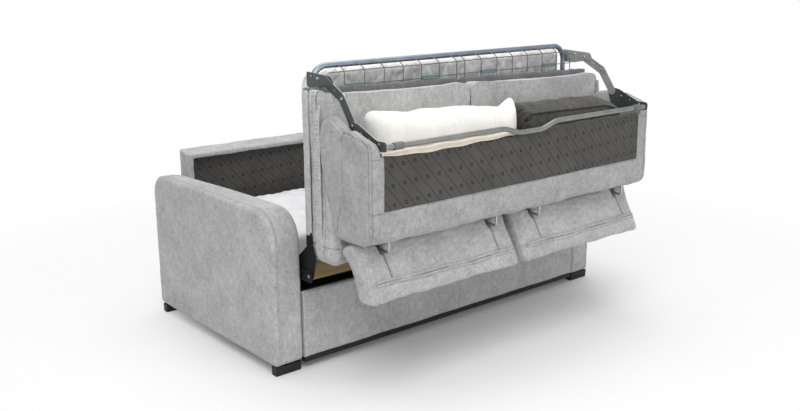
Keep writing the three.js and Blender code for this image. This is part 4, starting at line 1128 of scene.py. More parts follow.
# Linkage
class SOFA_OT_linkage(bpy.types.Operator):
    """Plates and rivets of the backrest's linkage"""

    bl_idname = "sofa.linkage"
    bl_label = "Backrest linkage"

    def execute(self, context):
        for side, sign in SIDES:
            for node in ("link_bracket", "upper_link", "lower_link", "back_arm"):
                look = "galvanised" if side == "right" and node != "back_arm" else "link"
                made = softened(f"{node}_{side}", f"{node}_{side}_dressed", look, 0.0006, "edge")
            for name, body, node, y, z, radius in (
                ("bracket_one", "seat", "link_bracket", 0.008, 1.234, 0.0042),
                ("bracket_two", "seat", "link_bracket", -0.034, 1.229, 0.0062),
                ("bracket_three", "seat", "link_bracket", -0.094, 1.218, 0.0062),
                ("link_mid", "seat", "upper_link", -0.150, 1.190, 0.0042),
                ("knee", "back_links", "lower_link", -0.200, 1.163, 0.0056),
                ("elbow", "back", "back_arm", -0.268, 1.068, 0.0056),
                ("arm_one", "back", "back_arm", -0.322, 1.045, 0.0050),
                ("arm_two", "back", "back_arm", -0.372, 1.030, 0.0038),
                ("arm_three", "back", "back_arm", -0.428, 1.018, 0.0050),
            ):
                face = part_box(f"{node}_{side}")
                passed = {"link_bracket": 0.0011, "upper_link": 0.0003}.get(node, radius / 2)
                left, right = (passed, radius / 2) if sign < 0 else (radius / 2, passed)
                self.rivet(f"rivet_{name}_{side}", body, face[0].x, -left, FRONT + y, z, radius)
                self.rivet(f"rivet_{name}_{side}_right", body, face[1].x, right, FRONT + y, z, radius)
        return {"FINISHED"}

    def rivet(self, name, body, x, crown, y, z, radius):
        """A domed head on a short shank: it stands crown * cos(a) out of the face at r * sin(a)
        from its middle. Heads that another plate passes over are nearly flush."""
        a = np.linspace(0.15, np.pi / 2, 7)
        reach = np.concatenate([radius * np.sin(a), [radius, radius * 0.7]])
        height = np.concatenate([abs(crown) * np.cos(a), [-0.0003, -0.001]])
        turn = np.arange(20) / 20 * 2 * np.pi
        rings = np.stack([
            np.broadcast_to(x + np.sign(crown) * height[:, None], (9, 20)),
            y + reach[:, None] * np.cos(turn), z + reach[:, None] * np.sin(turn)], -1)
        piece(name, *ringed(rings), body=body, slot="bright_steel", look="bright")


class SOFA_OT_back_tube(bpy.types.Operator):
    """Backrest's tube with a dip in its middle, and a collar near each end"""

    bl_idname = "sofa.back_tube"
    bl_label = "Backrest tube"

    def execute(self, context):
        size = context.scene.sofa_sizes
        low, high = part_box("back_tube")
        radius = (high.y - low.y) / 2
        y, z = (low.y + high.y) / 2, high.z - radius
        x = np.linspace(low.x + 0.001, high.x - 0.001, 420)
        across = np.clip((0.180 - np.abs(x)) / 0.130, 0, 1)
        path = np.stack([x, np.full(420, y), z - 0.027 * (1 - np.cos(across * np.pi)) / 2], 1)
        made = piece(
            "back_tube_smooth", *tube(path, radius, size.tube_sides, dome=0.25),
            body="back", slot="grey_steel", look="tube")
        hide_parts("back_tube")
        for side, _ in SIDES:
            low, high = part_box(f"tube_collar_{side}")
            middle = (low + high) / 2
            t = np.linspace(0, np.pi, 9)
            outer = (high.z - low.z) / 2
            half = (high.x - low.x) / 2
            edge, bore = 0.002, radius + 0.0002
            flat, rim = edge * (1 - np.cos(t)), outer - edge + edge * np.sin(t)
            profile_x = np.concatenate([[-half, -half], flat[:5] - half, half - flat[4::-1], [half, half]])
            profile_r = np.concatenate([[bore, outer - edge], rim[:5], rim[4::-1], [outer - edge, bore]])
            turn = np.arange(28) / 28 * 2 * np.pi
            rings = np.stack([
                np.broadcast_to(middle.x + profile_x[:, None], (len(profile_x), 28)),
                middle.y + profile_r[:, None] * np.cos(turn),
                middle.z + profile_r[:, None] * np.sin(turn)], -1)
            made = piece(
                f"tube_collar_{side}_moulded", rings.reshape(-1, 3),
                grid_faces(len(profile_x), 28, True, True), body="back", slot="grey_plastic", look="collar")
            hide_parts(f"tube_collar_{side}")
        return {"FINISHED"}


# Backrest
SHELL = {
    "rear": FRONT - 0.435, "front": FRONT - 0.123, "bottom": 0.622, "wing_top": 1.058,
    "rear_top": 0.974, "front_top": 0.930, "floor": 0.770, "rear_wall": 0.032,
    "pocket": FRONT - 0.207, "inner": 0.7955, "lining_low": 0.757,
}


class SOFA_OT_back_shell(bpy.types.Operator):
    """Upholstered tray of the backrest: two padded wings and a pocket between them"""

    bl_idname = "sofa.back_shell"
    bl_label = "Backrest shell"

    def loops(self):
        """Two closed loops of equal count in (y, z): the tray's and the wings'. Both share the
        outer faces; the tray's lips, walls and floor lie where the wing's upper faces run."""
        s = SHELL
        z = s["bottom"] + 0.024 + (s["front_top"] - s["bottom"] - 0.024) * np.linspace(0, 1, 44)
        front = np.stack([press_line(z) - 0.005, z], 1)
        lip_y, low_y = front[-1, 0], front[0, 0]
        wall_y = s["pocket"]
        t = np.linspace(0, np.pi, 12)
        lip = np.stack([
            (lip_y + wall_y) / 2 + (lip_y - wall_y) / 2 * np.cos(t), s["front_top"] + 0.010 * np.sin(t)], 1)
        down = np.stack([np.full(18, wall_y), np.linspace(s["front_top"], s["floor"] + 0.012, 18)], 1)
        tray_front = evenly(np.vstack([lip, down]), 44, closed=False)
        wing_front = evenly(np.vstack([
            [[lip_y, s["front_top"]]],
            rounded([(s["front"], 0.985, 0), (s["front"], s["wing_top"], 0.060),
                     (s["front"] - 0.062, s["wing_top"], 0)], 14),
        ]), 44, closed=False)
        rear_in = s["rear"] + s["rear_wall"]
        tray_floor = evenly(rounded([
            (wall_y, s["floor"] + 0.012, 0), (wall_y, s["floor"], 0.011), (rear_in, s["floor"], 0.011),
            (rear_in, s["floor"] + 0.012, 0)], 5), 30, closed=False)
        wing_floor = np.stack([
            np.linspace(s["front"] - 0.062, s["rear"] + 0.052, 30), np.full(30, s["wing_top"])], 1)
        up = np.stack([np.full(20, rear_in), np.linspace(s["floor"] + 0.012, s["rear_top"] - 0.008, 20)], 1)
        rear_lip = np.stack([
            (rear_in + s["rear"]) / 2 - (s["rear"] - rear_in) / 2 * np.cos(t),
            s["rear_top"] - 0.012 + 0.012 * np.sin(t)], 1)
        tray_rear = evenly(np.vstack([up, rear_lip]), 44, closed=False)
        wing_rear = evenly(np.vstack([
            rounded([(s["rear"] + 0.052, s["wing_top"], 0), (s["rear"], s["wing_top"], 0.046),
                     (s["rear"], 1.0, 0)], 12),
            [[s["rear"], s["rear_top"] - 0.012]]]), 44, closed=False)
        under = evenly(rounded([
            (s["rear"], s["rear_top"] - 0.012, 0), (s["rear"], s["bottom"], 0.050),
            (low_y, s["bottom"], 0.024), (low_y, s["bottom"] + 0.024, 0)], 12), 150, closed=False)
        tray = np.vstack([front[:-1], tray_front[:-1], tray_floor[:-1], tray_rear[:-1], under[:-1]])
        wing = np.vstack([front[:-1], wing_front[:-1], wing_floor[:-1], wing_rear[:-1], under[:-1]])
        return tray, wing

    def execute(self, context):
        size = context.scene.sofa_sizes
        s = SHELL
        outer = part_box("back_shell")[1].x
        tray, wing = self.loops()
        edge = 0.024
        x_tray = np.linspace(0, s["inner"], 96)
        rise = np.array([0, 0.0, 0.15, 0.3, 0.45, 0.6, 0.75, 0.87])
        t = np.linspace(0, np.pi / 2, 7)[1:]
        inner_round = 0.016
        x_lift = np.full(len(rise), s["inner"] + 0.0004) + np.linspace(0, 0.0008, len(rise))
        x_round = s["inner"] + 0.0012 + inner_round * (1 - np.cos(t))
        x_flat = np.concatenate([np.linspace(0.816, 0.830, 6), 0.838 + np.linspace(-0.006, 0.006, 9)])
        a = np.linspace(0, np.pi / 2, 9)
        x_out = np.maximum(outer - edge + edge * np.sin(a), 0.846)
        x_half = np.concatenate([x_tray, x_lift, x_round, x_flat[:-1], x_out])
        share = np.concatenate([
            np.zeros(len(x_tray)), rise, 0.90 + 0.10 * np.sin(t), np.ones(len(x_flat) - 1 + len(x_out))])
        straight = len(x_tray) + len(x_lift) + len(x_round) + len(x_flat) - 1
        inset = np.concatenate([np.zeros(straight), edge * (1 - np.cos(a)) * 0.999])
        x = np.concatenate([-x_half[:0:-1], x_half])
        share = np.concatenate([share[:0:-1], share])
        inset = np.concatenate([inset[:0:-1], inset])
        loop = tray[None] * (1 - share[:, None, None]) + wing[None] * share[:, None, None]
        loop = loop - inset[:, None, None] * outward(wing)[None]
        body = np.concatenate([np.broadcast_to(x[:, None, None], loop.shape[:2] + (1,)), loop], -1)
        r = np.linspace(1, 0, 26)[1:-1]
        caps = []
        for end, sign in ((body[0], -1), (body[-1], 1)):
            middle = np.array([end[0, 0], FRONT - 0.29, 0.84])
            cap = middle + (end - middle) * r[:, None, None]
            cap[..., 0] += sign * 0.004 * (1 - r[:, None] ** 2)
            caps.append(cap)
        rings = np.concatenate([caps[0][::-1], body, caps[1]])
        points, quads, fans = ringed(rings)
        made = piece(
            "back_shell_cover", points, quads, fans, body="back", slot="grey_fabric", look="back_velour_painted_shade")

        def work(p, n):
            ax, y, z = np.abs(p[:, 0]), p[:, 1], p[:, 2]
            rear = smooth((-n[:, 1] - 0.35) / 0.3) * (y < s["rear"] + 0.03)
            wing_seam = hump(ax - 0.838, 0.0035) * (1 - 0.6 * smooth((y - s["rear"] - 0.16) / 0.03))
            wing_seam *= 1 - smooth((y - s["front"] + 0.035) / 0.02)
            outer_side = smooth((np.abs(n[:, 0]) - 0.6) / 0.3) * (ax > 0.84)
            edge_x = 0.772 + 0.004 * np.sin(z * 19)
            edge_z = s["lining_low"] + 0.003 * np.sin(p[:, 0] * 6.1)
            border = np.maximum(smooth((ax - edge_x) / 0.010), smooth((edge_z - z) / 0.010)) * rear
            cross = hump(z - edge_z + 0.006, 0.003) * rear * (ax > 0.776) * (ax < 0.838) * (p[:, 0] < 0)
            cross += hump(z - 0.972, 0.003) * rear * (ax > 0.770) * (ax < 0.838)
            dart_y = s["rear"] + 0.150 - 0.014 * smooth((1.0 - z) / 0.3)
            dart = hump(y - dart_y, 0.010) * outer_side * smooth((z - 0.70) / 0.20)
            wing_top = smooth((z - 1.0) / 0.045) * smooth((ax - s["inner"]) / 0.004)
            lobes = 0.021 * hump(y - s["rear"] - 0.235, 0.055) - 0.013 * hump(y - dart_y, 0.014)
            lower = smooth((0.70 - z) / 0.06)
            wave = ripple(np.stack([p[:, 0], 0 * y, 0 * y], 1), 0.23, 71, 5)
            short = ripple(p * [1, 0.4, 0.3], 0.07, 72)
            lift = size.wobble * 1.2 * ripple(p, 0.13, 73) + 0.0007 * short
            lift += 0.0045 * border * smooth((z - 0.62) / 0.03)
            lift += lower * (0.0035 * wave + 0.0016 * short)
            lift -= size.seam_depth * (wing_seam + cross) + 0.004 * dart
            lift += 0.004 * outer_side * ripple(p * [0, 1, 0.35], 0.15, 74)
            hidden = smooth((y - (s["front"] - 0.03)) / 0.02)
            lift *= 1 - 0.9 * hidden
            inside = (ax < s["inner"] + 0.0001) * (z > s["floor"] - 0.01) * (y > s["rear"] + 0.02)
            lift *= 1 - inside
            p = p + n * lift[:, None]
            p[:, 2] = np.maximum(p[:, 2], s["bottom"] - 0.002)
            on_wing = smooth((z - 0.92) / 0.12) * (ax > s["inner"])
            fall = 0.027 * smooth((dart_y - y) / 0.13)
            p[:, 2] += lobes * wing_top + (lean(p[:, 0]) * smooth((y - dart_y) / 0.10) - fall) * on_wing
            # The mask darkens the wing seam and the cross seams, paints shade into the dart's fold as painted
            # shade, and darkens a line along the dip on the wing's top.
            return p, 0.5 * wing_seam + 0.4 * cross + 0.22 * dart + 0.4 * wing_top * hump(y - dart_y, 0.006)

        reshape(made, work)
        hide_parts("back_shell")
        return {"FINISHED"}


class SOFA_OT_back_lining(bpy.types.Operator):
    """Striped cloth on the backrest's hidden face, over its upper edge and down into the pocket"""

    bl_idname = "sofa.back_lining"
    bl_label = "Backrest lining"

    def execute(self, context):
        s = SHELL
        gap = 0.0022
        rear, rear_in = s["rear"] - gap, s["rear"] + s["rear_wall"] + gap
        wall = s["pocket"] - gap
        t = np.linspace(0, np.pi, 14)
        over = np.stack([
            (rear + rear_in) / 2 - (rear_in - rear) / 2 * np.cos(t),
            s["rear_top"] - 0.010 + 0.014 * np.sin(t)], 1)
        path = np.vstack([
            [[rear, s["lining_low"] + 0.002]], over,
            rounded([(rear_in, s["rear_top"] - 0.012, 0), (rear_in, s["floor"] + gap, 0.014),
                     (wall, s["floor"] + gap, 0.014), (wall, s["front_top"] - 0.008, 0)], 5)])
        line = evenly(path, 170, closed=False)
        along = np.concatenate([[0], np.cumsum(np.linalg.norm(np.diff(line, axis=0), axis=1))])
        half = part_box("back_lining")[1].x - 0.002
        x = np.linspace(-half, half, 240)
        gx, gs = np.meshgrid(x, along, indexing="ij")
        y = np.interp(gs, along, line[:, 0])
        z = np.interp(gs, along, line[:, 1])
        points = np.stack([gx, y, z], -1)
        face = (y < s["rear"] + 0.001) & (z < s["rear_top"])
        lip = hump(z - s["rear_top"], 0.018) * (y < rear_in - 0.002)
        points[..., 1] -= np.where(face, 0.0022 * np.abs(ripple(points, 0.24, 81)), 0)
        waves = 0.0028 * ripple(points * [1, 0, 0], 0.13, 82) + 0.0012 * ripple(points, 0.05, 83)
        points[..., 2] += lip * waves
        uv = np.stack([gx, gs + s["lining_low"]], -1).reshape(-1, 2)
        seam = hump(gx - 0.02, 0.0034) * 0.45 * face
        sheet = piece(
            "back_lining_cloth", points.reshape(-1, 3), grid_faces(240, 170)[:, ::-1], body="back",
            slot="dark_lining", look="lining", uv=uv, seam=seam.reshape(-1))
        modified(sheet, "SOLIDIFY", thickness=0.0012, offset=-1)
        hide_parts("back_lining")
        self.strip()
        return {"FINISHED"}

    def strip(self):
        """Cream cotton that hangs over the rear wall's edge at the left, thinner to both ends."""
        s = SHELL
        x = np.linspace(-0.792, -0.03, 120)
        share = (x + 0.792) / 0.762
        drop = 0.002 + 0.010 * smooth(share / 0.25) * (1 - smooth((share - 0.35) / 0.65))
        v = np.linspace(0, 1, 22)
        top = s["rear_top"] + 0.0085 + 0.002 * np.sin(x * 37)
        gx, gv = np.meshgrid(x, v, indexing="ij")
        reach = 0.024
        turn = np.clip((gv - 0.35) / 0.25, 0, 1)
        y = s["rear"] + reach * (1 - gv / 0.35).clip(0) - 0.0075 * np.sin(turn * np.pi / 2)
        z = top[:, None] - 0.007 * (1 - np.cos(turn * np.pi / 2)) - drop[:, None] * ((gv - 0.6) / 0.4).clip(0)
        points = np.stack([gx, y, z], -1)
        points[..., 1] -= 0.0012 * (1 + ripple(points, 0.06, 85))
        sheet = piece(
            "cream_strip", points.reshape(-1, 3), grid_faces(120, 22), body="back",
            slot="pillow_cotton", look="cream")
        modified(sheet, "SOLIDIFY", thickness=0.0014, offset=0)
        step = np.linalg.norm(np.diff(points, axis=1), axis=2).sum(1).mean()


# Bedding
class SOFA_OT_bedding(bpy.types.Operator):
    """Pillow with ears and a piped bag, both standing in the backrest's pocket"""

    bl_idname = "sofa.bedding"
    bl_label = "Pillow and bag"

    def execute(self, context):
        size = context.scene.sofa_sizes
        self.pillow(size)
        self.bag(size)
        return {"FINISHED"}

    def pillow(self, size):
        """Two sheets joined at a seam: half thickness T (1 - u^8)^0.5 (1 - v^4)^0.5 under an upper
        edge that falls from both corners to its middle, and a corner drawn out to an ear."""
        low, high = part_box("pillow")
        unit, quads = box_grid((150, 12, 60))
        u, v, w = unit[:, 0], unit[:, 2], unit[:, 1]
        left, right = -0.765, 0.055
        half = np.array(high - low) / 2 - [0.0, 0.012, 0.0]
        thick = np.sqrt(np.clip((1 - u**8) * (1 - v**4), 0, 1)) * 0.985 + 0.03
        x = (left + right) / 2 + u * (right - left) / 2
        top = np.interp(
            x, [-0.765, -0.745, -0.72, -0.62, -0.50, -0.35, -0.20, -0.05, 0.0, 0.020, 0.040, 0.055],
            [1.095, 1.118, 1.122, 1.115, 1.110, 1.108, 1.100, 1.084, 1.082, 1.090, 1.106, 1.095])
        z = low.z + (top - low.z) * (v + 1) / 2
        x += 0.008 * (1 - ((z - 1.03) / 0.10).clip(-1, 1) ** 2) * smooth((-u - 0.6) / 0.4)
        x -= (0.006 + 0.010 * (1 - v**2)) * smooth((u - 0.7) / 0.3)
        points = np.stack([x, (low.y + high.y) / 2 + w * half[1] * thick, z], 1)
        made = piece("pillow_cover", points, quads, body="back", slot="pillow_cotton", look="cotton")
        swell(made, size.swelling * 0.3, size.voxel * 1.15)
        wall_rear = SHELL["rear"] + SHELL["rear_wall"] + 0.004
        wall_front = SHELL["pocket"] - 0.004

        def work(p, n):
            ear = hump(p[:, 0] - right + 0.015, 0.014) * smooth((p[:, 2] - 1.065) / 0.035)
            fold = ripple(p * [1, 0.3, 0.25], 0.07, 91)
            lift = 0.0030 * fold + 0.0040 * ripple(p * [1, 1, 0.4], 0.2, 92)
            p = p + n * lift[:, None]
            p[:, 2] += 0.004 * ear
            low_part = p[:, 2] < SHELL["rear_top"] + 0.004
            p[:, 1] = np.where(low_part, np.maximum(p[:, 1], wall_rear), p[:, 1])
            p[:, 1] = np.where(p[:, 2] < SHELL["front_top"] + 0.004, np.minimum(p[:, 1], wall_front), p[:, 1])
            p[:, 2] = np.maximum(p[:, 2], SHELL["floor"] + 0.004)
            # Painted shade of the folds: darker where the fold ripple is far from zero, on crests and in
            # hollows alike.
            return p, 0.35 * smooth((np.abs(fold) - 1.2) / 0.5)

        reshape(made, work)
        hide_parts("pillow")

    def bag(self, size):
        """Box of striped cloth with upright walls; above a piped line its top rises in a dome
        whose crest lies a third of the way in, and both fall towards the right end. Just under the piping the
        rear face is pushed in and painted darker, as painted shadow."""
        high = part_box("bedding_bag")[1]
        wall_rear = SHELL["rear"] + SHELL["rear_wall"] + 0.004
        wall_front = SHELL["pocket"] - 0.004
        floor = SHELL["floor"] + 0.004
        piping = 1.044
        outline = evenly(rounded([
            (wall_rear, floor, 0.020), (wall_front, floor, 0.020), (wall_front, 1.035, 0.030),
            (FRONT - 0.300, 1.103, 0.120), (wall_rear, piping, 0.004)], 10), 200)
        left, right = 0.060, high.x - 0.034
        stations, inset = edge_stations(left, right, 0.024, np.linspace(left + 0.03, right - 0.03, 70), 10)
        points, quads, fans = ringed(slab(outline, stations, inset, 0.006))
        made = piece(
            "bedding_bag_cover", points, quads, fans, body="back", slot="dark_lining", look="lining")

        def fall(x):
            return -0.021 * x - 0.030 * smooth((x - 0.555) / 0.15)

        def work(p, n):
            rear_face = smooth((-n[:, 1] - 0.1) / 0.4) * (p[:, 1] < wall_rear + 0.012)
            upper = smooth((p[:, 2] - 0.98) / 0.05)
            dome = smooth((p[:, 2] - piping) / 0.02)
            lift = 0.0020 * ripple(p * [1, 1, 0.5], 0.14, 95) + 0.0012 * ripple(p, 0.05, 96)
            lift += 0.0030 * dome * ripple(p * [1, 0.6, 1], 0.11, 97)
            around = p[:, 2] - piping
            p = p + n * (lift - 0.003 * hump(around + 0.008, 0.005) * rear_face)[:, None]
            p[:, 2] += fall(p[:, 0]) * upper
            deep = p[:, 2] < SHELL["rear_top"] + 0.004
            p[:, 1] = np.where(deep, np.clip(p[:, 1], wall_rear, wall_front), p[:, 1])
            p[:, 2] = np.maximum(p[:, 2], floor)
            # Painted shadow: the line just under the piping on the rear face is darkened.
            return p, 0.85 * hump(around + 0.007, 0.0035) * rear_face

        reshape(made, work)
        self.cloth_uv(made)
        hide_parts("bedding_bag")
        x = np.linspace(left + 0.008, right - 0.014, 90)
        line = np.stack([
            x, np.full(90, wall_rear - 0.0012) + 0.0006 * np.sin(x * 31), piping + 0.001 + fall(x)], 1)
        cord = piece(
            "bedding_bag_piping", *tube(line, 0.0026, 10), body="back", slot="dark_lining",
            look="lining_flat")

    def cloth_uv(self, made):
        """UV in metres: x along the bag, and height plus depth, so that lines run over the top."""
        points, _ = arrays(made.data)
        index = np.zeros(len(made.data.loops), np.int32)
        made.data.loops.foreach_get("vertex_index", index)
        flat = np.stack([points[:, 0], points[:, 2] + 0.9 * (points[:, 1] - SHELL["rear"])], 1)
        layer = made.data.uv_layers.new(name="cloth")
        layer.data.foreach_set("uv", flat[index].astype(np.float32).ravel())


# Headrests
# Corners of a headrest's section (y, z): top front, low front, heel and nape
HEADREST = np.array([[-0.321, 0.632], [-0.455, 0.386], [-0.345, 0.377], [-0.238, 0.590]]) + [FRONT, 0]


class SOFA_OT_headrests(bpy.types.Operator):
    """Two leaning pads with slits and a double welt, on bright bent rods"""

    bl_idname = "sofa.headrests"
    bl_label = "Headrests"

    def execute(self, context):
        for side, sign in SIDES:
            made = self.pad(context.scene.sofa_sizes, side, sign)
            self.welt(made, side, sign)
            for place in ("inner", "outer"):
                self.hanger(f"headrest_hanger_{side}_{place}", side)
        return {"FINISHED"}

    def pad(self, size, side, sign):
        """Box whose section is the quadrilateral of the headrest's four corners, by bilinear
        interpolation, with 34 mm rounding; slits run down its face from each hanger. The slits and the mouths
        where the rods go in are painted dark as painted shade, and a line just under the welt is a painted
        shadow."""
        top_front, low_front, heel, top_rear = HEADREST
        inner, outer = 0.0045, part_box("headrest_right")[1].x - 0.003
        long = np.linalg.norm(top_front - low_front)
        thick = np.linalg.norm(low_front - heel)
        points, quads, unit = block((outer - inner, thick, long), 0.033, (120, 14, 40))
        draw = 0.003
        share_w = points[:, 1] / (thick + 2 * draw) + 0.5
        share_v = points[:, 2] / (long + 2 * draw) + 0.5
        section = (
            (1 - share_v)[:, None] * ((1 - share_w)[:, None] * low_front + share_w[:, None] * heel)
            + share_v[:, None] * ((1 - share_w)[:, None] * top_front + share_w[:, None] * top_rear))
        x = sign * ((inner + outer) / 2 + points[:, 0] * sign * (1 - 2 * draw / (outer - inner)))
        points = np.column_stack([x, section])
        made = piece(f"headrest_{side}_cover", points, quads, body=f"headrest_pad_{side}",
                     slot="grey_fabric", look="velour")
        swell(made, size.swelling * 0.35, size.voxel * 1.1)
        down = (low_front - top_front) / long
        face = np.array([down[1], -down[0]])
        hangers = [np.mean([c.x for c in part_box(f"headrest_hanger_{side}_{k}")]) for k in ("inner", "outer")]

        def work(p, n):
            flat = p[:, 1:] - top_front
            along = flat @ down
            front = smooth((np.sign(-face[0]) * (n[:, 1:] @ face) - 0.45) / 0.3)
            slit = np.zeros(len(p))
            mouth = np.zeros(len(p))
            for x in hangers:
                slant = x + 0.010 * along / long
                slit = np.maximum(slit, hump(p[:, 0] - slant, 0.0046) * (along < long - 0.100))
                mouth = np.maximum(mouth, hump(p[:, 0] - x, 0.010) * (1 - smooth((along - 0.055) / 0.035)))
            body = front * (along > -0.02)
            soft = 0.0022 * ripple(p, 0.12, 101 + int(sign > 0)) + 0.0012 * ripple(p * [1, 1, 2], 0.05, 103)
            belly = 0.003 * hump(along - 0.17, 0.07) * front
            lift = soft + belly - 0.0035 * slit * body - 0.016 * mouth * smooth((n[:, 2] + 0.2) / 0.5 + front)
            p = p + n * lift[:, None]
            corner = hump(p[:, 0] - sign * outer, 0.10) * smooth((0.10 - along) / 0.10)
            p[:, 0] += sign * 0.018 * corner
            shadow = hump(along - long + 0.094 - 0.0057, 0.008) * front
            # Painted shade in the slits and the rods' mouths, and a painted shadow line just under the welt.
            return p, slit * body + mouth * smooth((n[:, 2] + 0.1) / 0.4) + 0.35 * shadow

        reshape(made, work)
        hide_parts(f"headrest_{side}")
        return made

    def welt(self, made, side, sign):
        """Two cords side by side on the face, 94 mm above the lower edge, laid on it by rays."""
        points, _ = arrays(made.data)
        polygons = [tuple(face.vertices) for face in made.data.polygons]
        tree = BVHTree.FromPolygons(points.tolist(), polygons)
        top_front, low_front = HEADREST[:2]
        down = low_front - top_front
        long = np.linalg.norm(down)
        down /= long
        out = Vector((0, down[1], -down[0]))
        if out.y > 0:
            out = -out
        x = np.linspace(0.045, 0.800, 150)
        for row, shift in enumerate((0.0, 0.0115)):
            line = []
            for at in x:
                sway = 0.0018 * math.sin(at * 23 + row) + 0.0035 * math.sin(at * 5.5)
                place = long - 0.094 + shift + sway
                yz = top_front + down * place
                start = Vector((sign * at, yz[0], yz[1])) + out * 0.08
                hit = tree.ray_cast(start, -out)[0]
                if hit is not None:
                    line.append(hit + out * 0.0024)
            path = np.array([list(point) for point in line])
            size = 0.0058 if row == 0 else 0.0048
            shrink = 1 + 0.12 * np.sin(np.arange(len(path)) * 0.9) * np.cos(np.arange(len(path)) * 0.37)
            piece(
                f"headrest_{side}_welt_{row}", *tube(path, size * shrink, 10, lean=(0, 0, 1)),
                body=f"headrest_pad_{side}", slot="grey_fabric", look="velour")

    def hanger(self, node, side):
        """Bright rod down from the backrest and round a bend to its cross pin in the pad."""
        low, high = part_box(node)
        x = (low.x + high.x) / 2
        y_rod = FRONT - 0.400
        pin = (FRONT - 0.300, 0.590)
        corner = rounded([(y_rod, 0.650, 0), (y_rod, 0.579, 0.012), (pin[0], pin[1], 0)], 10)
        line = evenly(corner, 60, closed=False)
        path = np.stack([np.full(60, x), line[:, 0], line[:, 1]], 1)
        rod = piece(
            node + "_rod", *tube(path, 0.0055, 16, lean=(1, 0, 0)), body="back", slot="bright_steel",
            look="bright")
        across = np.linspace(low.x + 0.001, high.x - 0.001, 12)
        cross = np.stack([across, np.full(12, pin[0]), np.full(12, pin[1])], 1)
        piece(node + "_pin", *tube(cross, 0.0042, 14), body="back", slot="bright_steel", look="bright")
        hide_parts(node)


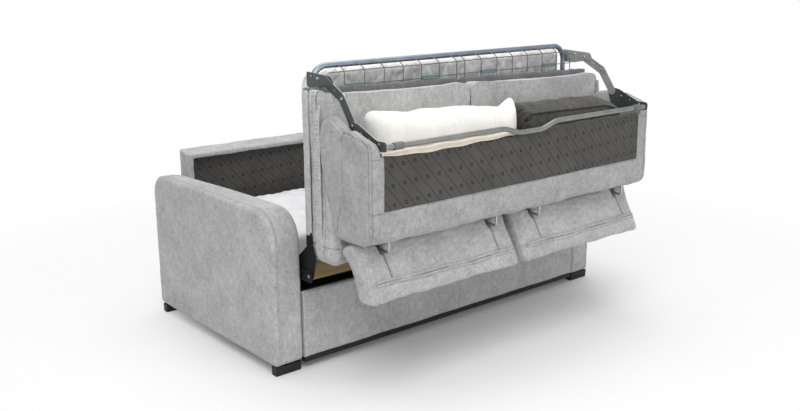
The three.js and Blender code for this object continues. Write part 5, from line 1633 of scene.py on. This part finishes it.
# Stage
class SOFA_OT_stage(bpy.types.Operator):
    """Pale floor, white surroundings, soft lamps and the camera at the photograph's view"""

    bl_idname = "sofa.stage"
    bl_label = "Stage, lights and camera"

    def execute(self, context):
        scene = context.scene
        scene.view_settings.view_transform = "Standard"
        mesh = bpy.data.meshes.new("floor")
        reach = 40
        corners = [(-reach, -reach, 0), (reach, -reach, 0), (reach, reach, 0), (-reach, reach, 0)]
        mesh.from_pydata(corners, [], [(0, 1, 2, 3)])
        floor = bpy.data.objects.new("floor", mesh)
        scene.collection.objects.link(floor)
        mesh.materials.append(self.floor_finish())
        self.world(scene)
        power = scene.sofa_sizes.light
        self.lamp("key_lamp", (-2.6, -2.4, 4.2), (0.1, 0.0, 0.5), 3.2, 95 * power)
        self.lamp("top_lamp", (0.4, 0.6, 4.6), (0.0, 0.2, 0.4), 4.5, 95 * power)
        self.lamp("fill_lamp", (1.0, -5.0, 2.2), (0.0, 0.0, 0.7), 3.0, 45 * power)
        self.camera(scene)
        return {"FINISHED"}

    def floor_finish(self):
        """Diffuse floor that, where camera, gloss and glass see it, is mixed with plain white:
        more of it with distance from the sofa, so the ground fades into the white surroundings."""
        g = Graph("floor_white", 0.9)
        tree = g.material.node_tree
        place = g.add("TexCoord").outputs["Object"]
        distance = g.add("VectorMath", {0: place}, operation="LENGTH").outputs["Value"]
        far = g.sum("ADD", g.range(distance, 0.92, 1.32, 0.02, 0.50), g.range(distance, 1.32, 3.2, 0.0, 0.50))
        grain = g.noise(place, 3.0, 2.0)
        shade = g.blend(grain, (0.86, 0.86, 0.865, 1), (0.89, 0.89, 0.89, 1))
        diffuse = g.add("BsdfDiffuse", {"Color": shade})
        white = g.add("Emission", {"Color": (1, 1, 1, 1), "Strength": 1.0})
        path = g.add("LightPath")
        seen = g.sum("ADD", path.outputs["Is Camera Ray"], g.sum(
            "ADD", path.outputs["Is Glossy Ray"], path.outputs["Is Transmission Ray"]), clamp=True)
        faded = g.sum("MULTIPLY", seen, far)
        mix = g.add("MixShader", {0: faded, 1: diffuse.outputs[0], 2: white.outputs[0]})
        tree.links.new(mix.outputs[0], g.nodes["Material Output"].inputs["Surface"])
        g.nodes.remove(g.shader)
        return g.material

    def world(self, scene):
        """White for camera, gloss and glass; a softer even light for everything else."""
        world = bpy.data.worlds.new("studio")
        scene.world = world
        world.use_nodes = True
        nodes, links = world.node_tree.nodes, world.node_tree.links
        background = nodes["Background"]
        path = nodes.new("ShaderNodeLightPath")
        seen = nodes.new("ShaderNodeMath")
        seen.operation = "ADD"
        seen.use_clamp = True
        links.new(path.outputs["Is Camera Ray"], seen.inputs[0])
        links.new(path.outputs["Is Transmission Ray"], seen.inputs[1])
        glossy = nodes.new("ShaderNodeMath")
        glossy.operation = "MULTIPLY_ADD"
        links.new(path.outputs["Is Glossy Ray"], glossy.inputs[0])
        glossy.inputs[1].default_value = 0.35
        links.new(seen.outputs[0], glossy.inputs[2])
        power = nodes.new("ShaderNodeMapRange")
        links.new(glossy.outputs[0], power.inputs["Value"])
        power.inputs["To Min"].default_value = 0.55
        power.inputs["To Max"].default_value = 1.0
        background.inputs["Color"].default_value = (1, 1, 1, 1)
        links.new(power.outputs[0], background.inputs["Strength"])

    def lamp(self, name, place, target, size, power):
        light = bpy.data.lights.new(name, "AREA")
        light.shape = "DISK"
        light.size = size
        light.energy = power
        made = bpy.data.objects.new(name, light)
        made.location = place
        made.rotation_mode = "QUATERNION"
        made.rotation_quaternion = (Vector(target) - Vector(place)).to_track_quat("-Z", "Y")
        bpy.context.scene.collection.objects.link(made)

    def camera(self, scene):
        """Camera fitted to the photograph's own straight edges: yaw 0.6982, pitch 0.2488 down."""
        yaw, pitch, roll = 0.6982, 0.2488, -0.0056
        ahead = Vector((math.sin(yaw) * math.cos(pitch), math.cos(yaw) * math.cos(pitch), -math.sin(pitch)))
        right = Vector((math.cos(yaw), -math.sin(yaw), 0))
        up = right.cross(ahead)
        right_r = right * math.cos(roll) + up * math.sin(roll)
        up_r = -right * math.sin(roll) + up * math.cos(roll)
        data = bpy.data.cameras.new("photo_camera")
        data.lens = 41.575
        data.sensor_width = 36
        data.clip_start, data.clip_end = 0.05, 200
        made = bpy.data.objects.new("photo_camera", data)
        made.matrix_world = Matrix.Translation((-2.8913, -3.3319, 1.6379)) @ Matrix(
            (right_r, up_r, -ahead)).transposed().to_4x4()
        scene.collection.objects.link(made)
        scene.camera = made


OPERATORS = (
    SOFA_OT_stage, SOFA_OT_arms, SOFA_OT_base, SOFA_OT_rear_panel, SOFA_OT_plates, SOFA_OT_seat,
    SOFA_OT_bed, SOFA_OT_mattress, SOFA_OT_linkage, SOFA_OT_back_tube, SOFA_OT_back_shell,
    SOFA_OT_back_lining, SOFA_OT_bedding, SOFA_OT_headrests,
)


class SOFA_PT_sidebar(bpy.types.Panel):
    """Sidebar with the sofa's operators, sizes and colours"""

    bl_idname = "SOFA_PT_sidebar"
    bl_label = "Sleeper sofa"
    bl_space_type = "VIEW_3D"
    bl_region_type = "UI"
    bl_category = "Sofa"

    def draw(self, context):
        for operator in OPERATORS:
            self.layout.operator(operator.bl_idname)
        for group in (context.scene.sofa_sizes, context.scene.sofa_colours):
            box = self.layout.box()
            for key in group.bl_rna.properties.keys():
                if key not in ("rna_type", "name"):
                    box.prop(group, key)


CLASSES = (SofaColours, SofaSizes, *OPERATORS, SOFA_PT_sidebar)


def register():
    for kind in CLASSES:
        bpy.utils.register_class(kind)
    bpy.types.Scene.sofa_colours = PointerProperty(type=SofaColours)
    bpy.types.Scene.sofa_sizes = PointerProperty(type=SofaSizes)


def unregister():
    del bpy.types.Scene.sofa_sizes
    del bpy.types.Scene.sofa_colours
    for kind in reversed(CLASSES):
        bpy.utils.unregister_class(kind)


def main():
    register()
    for operator in OPERATORS:
        group, name = operator.bl_idname.split(".")
        getattr(getattr(bpy.ops, group), name)()


if __name__ == "__main__":
    main()
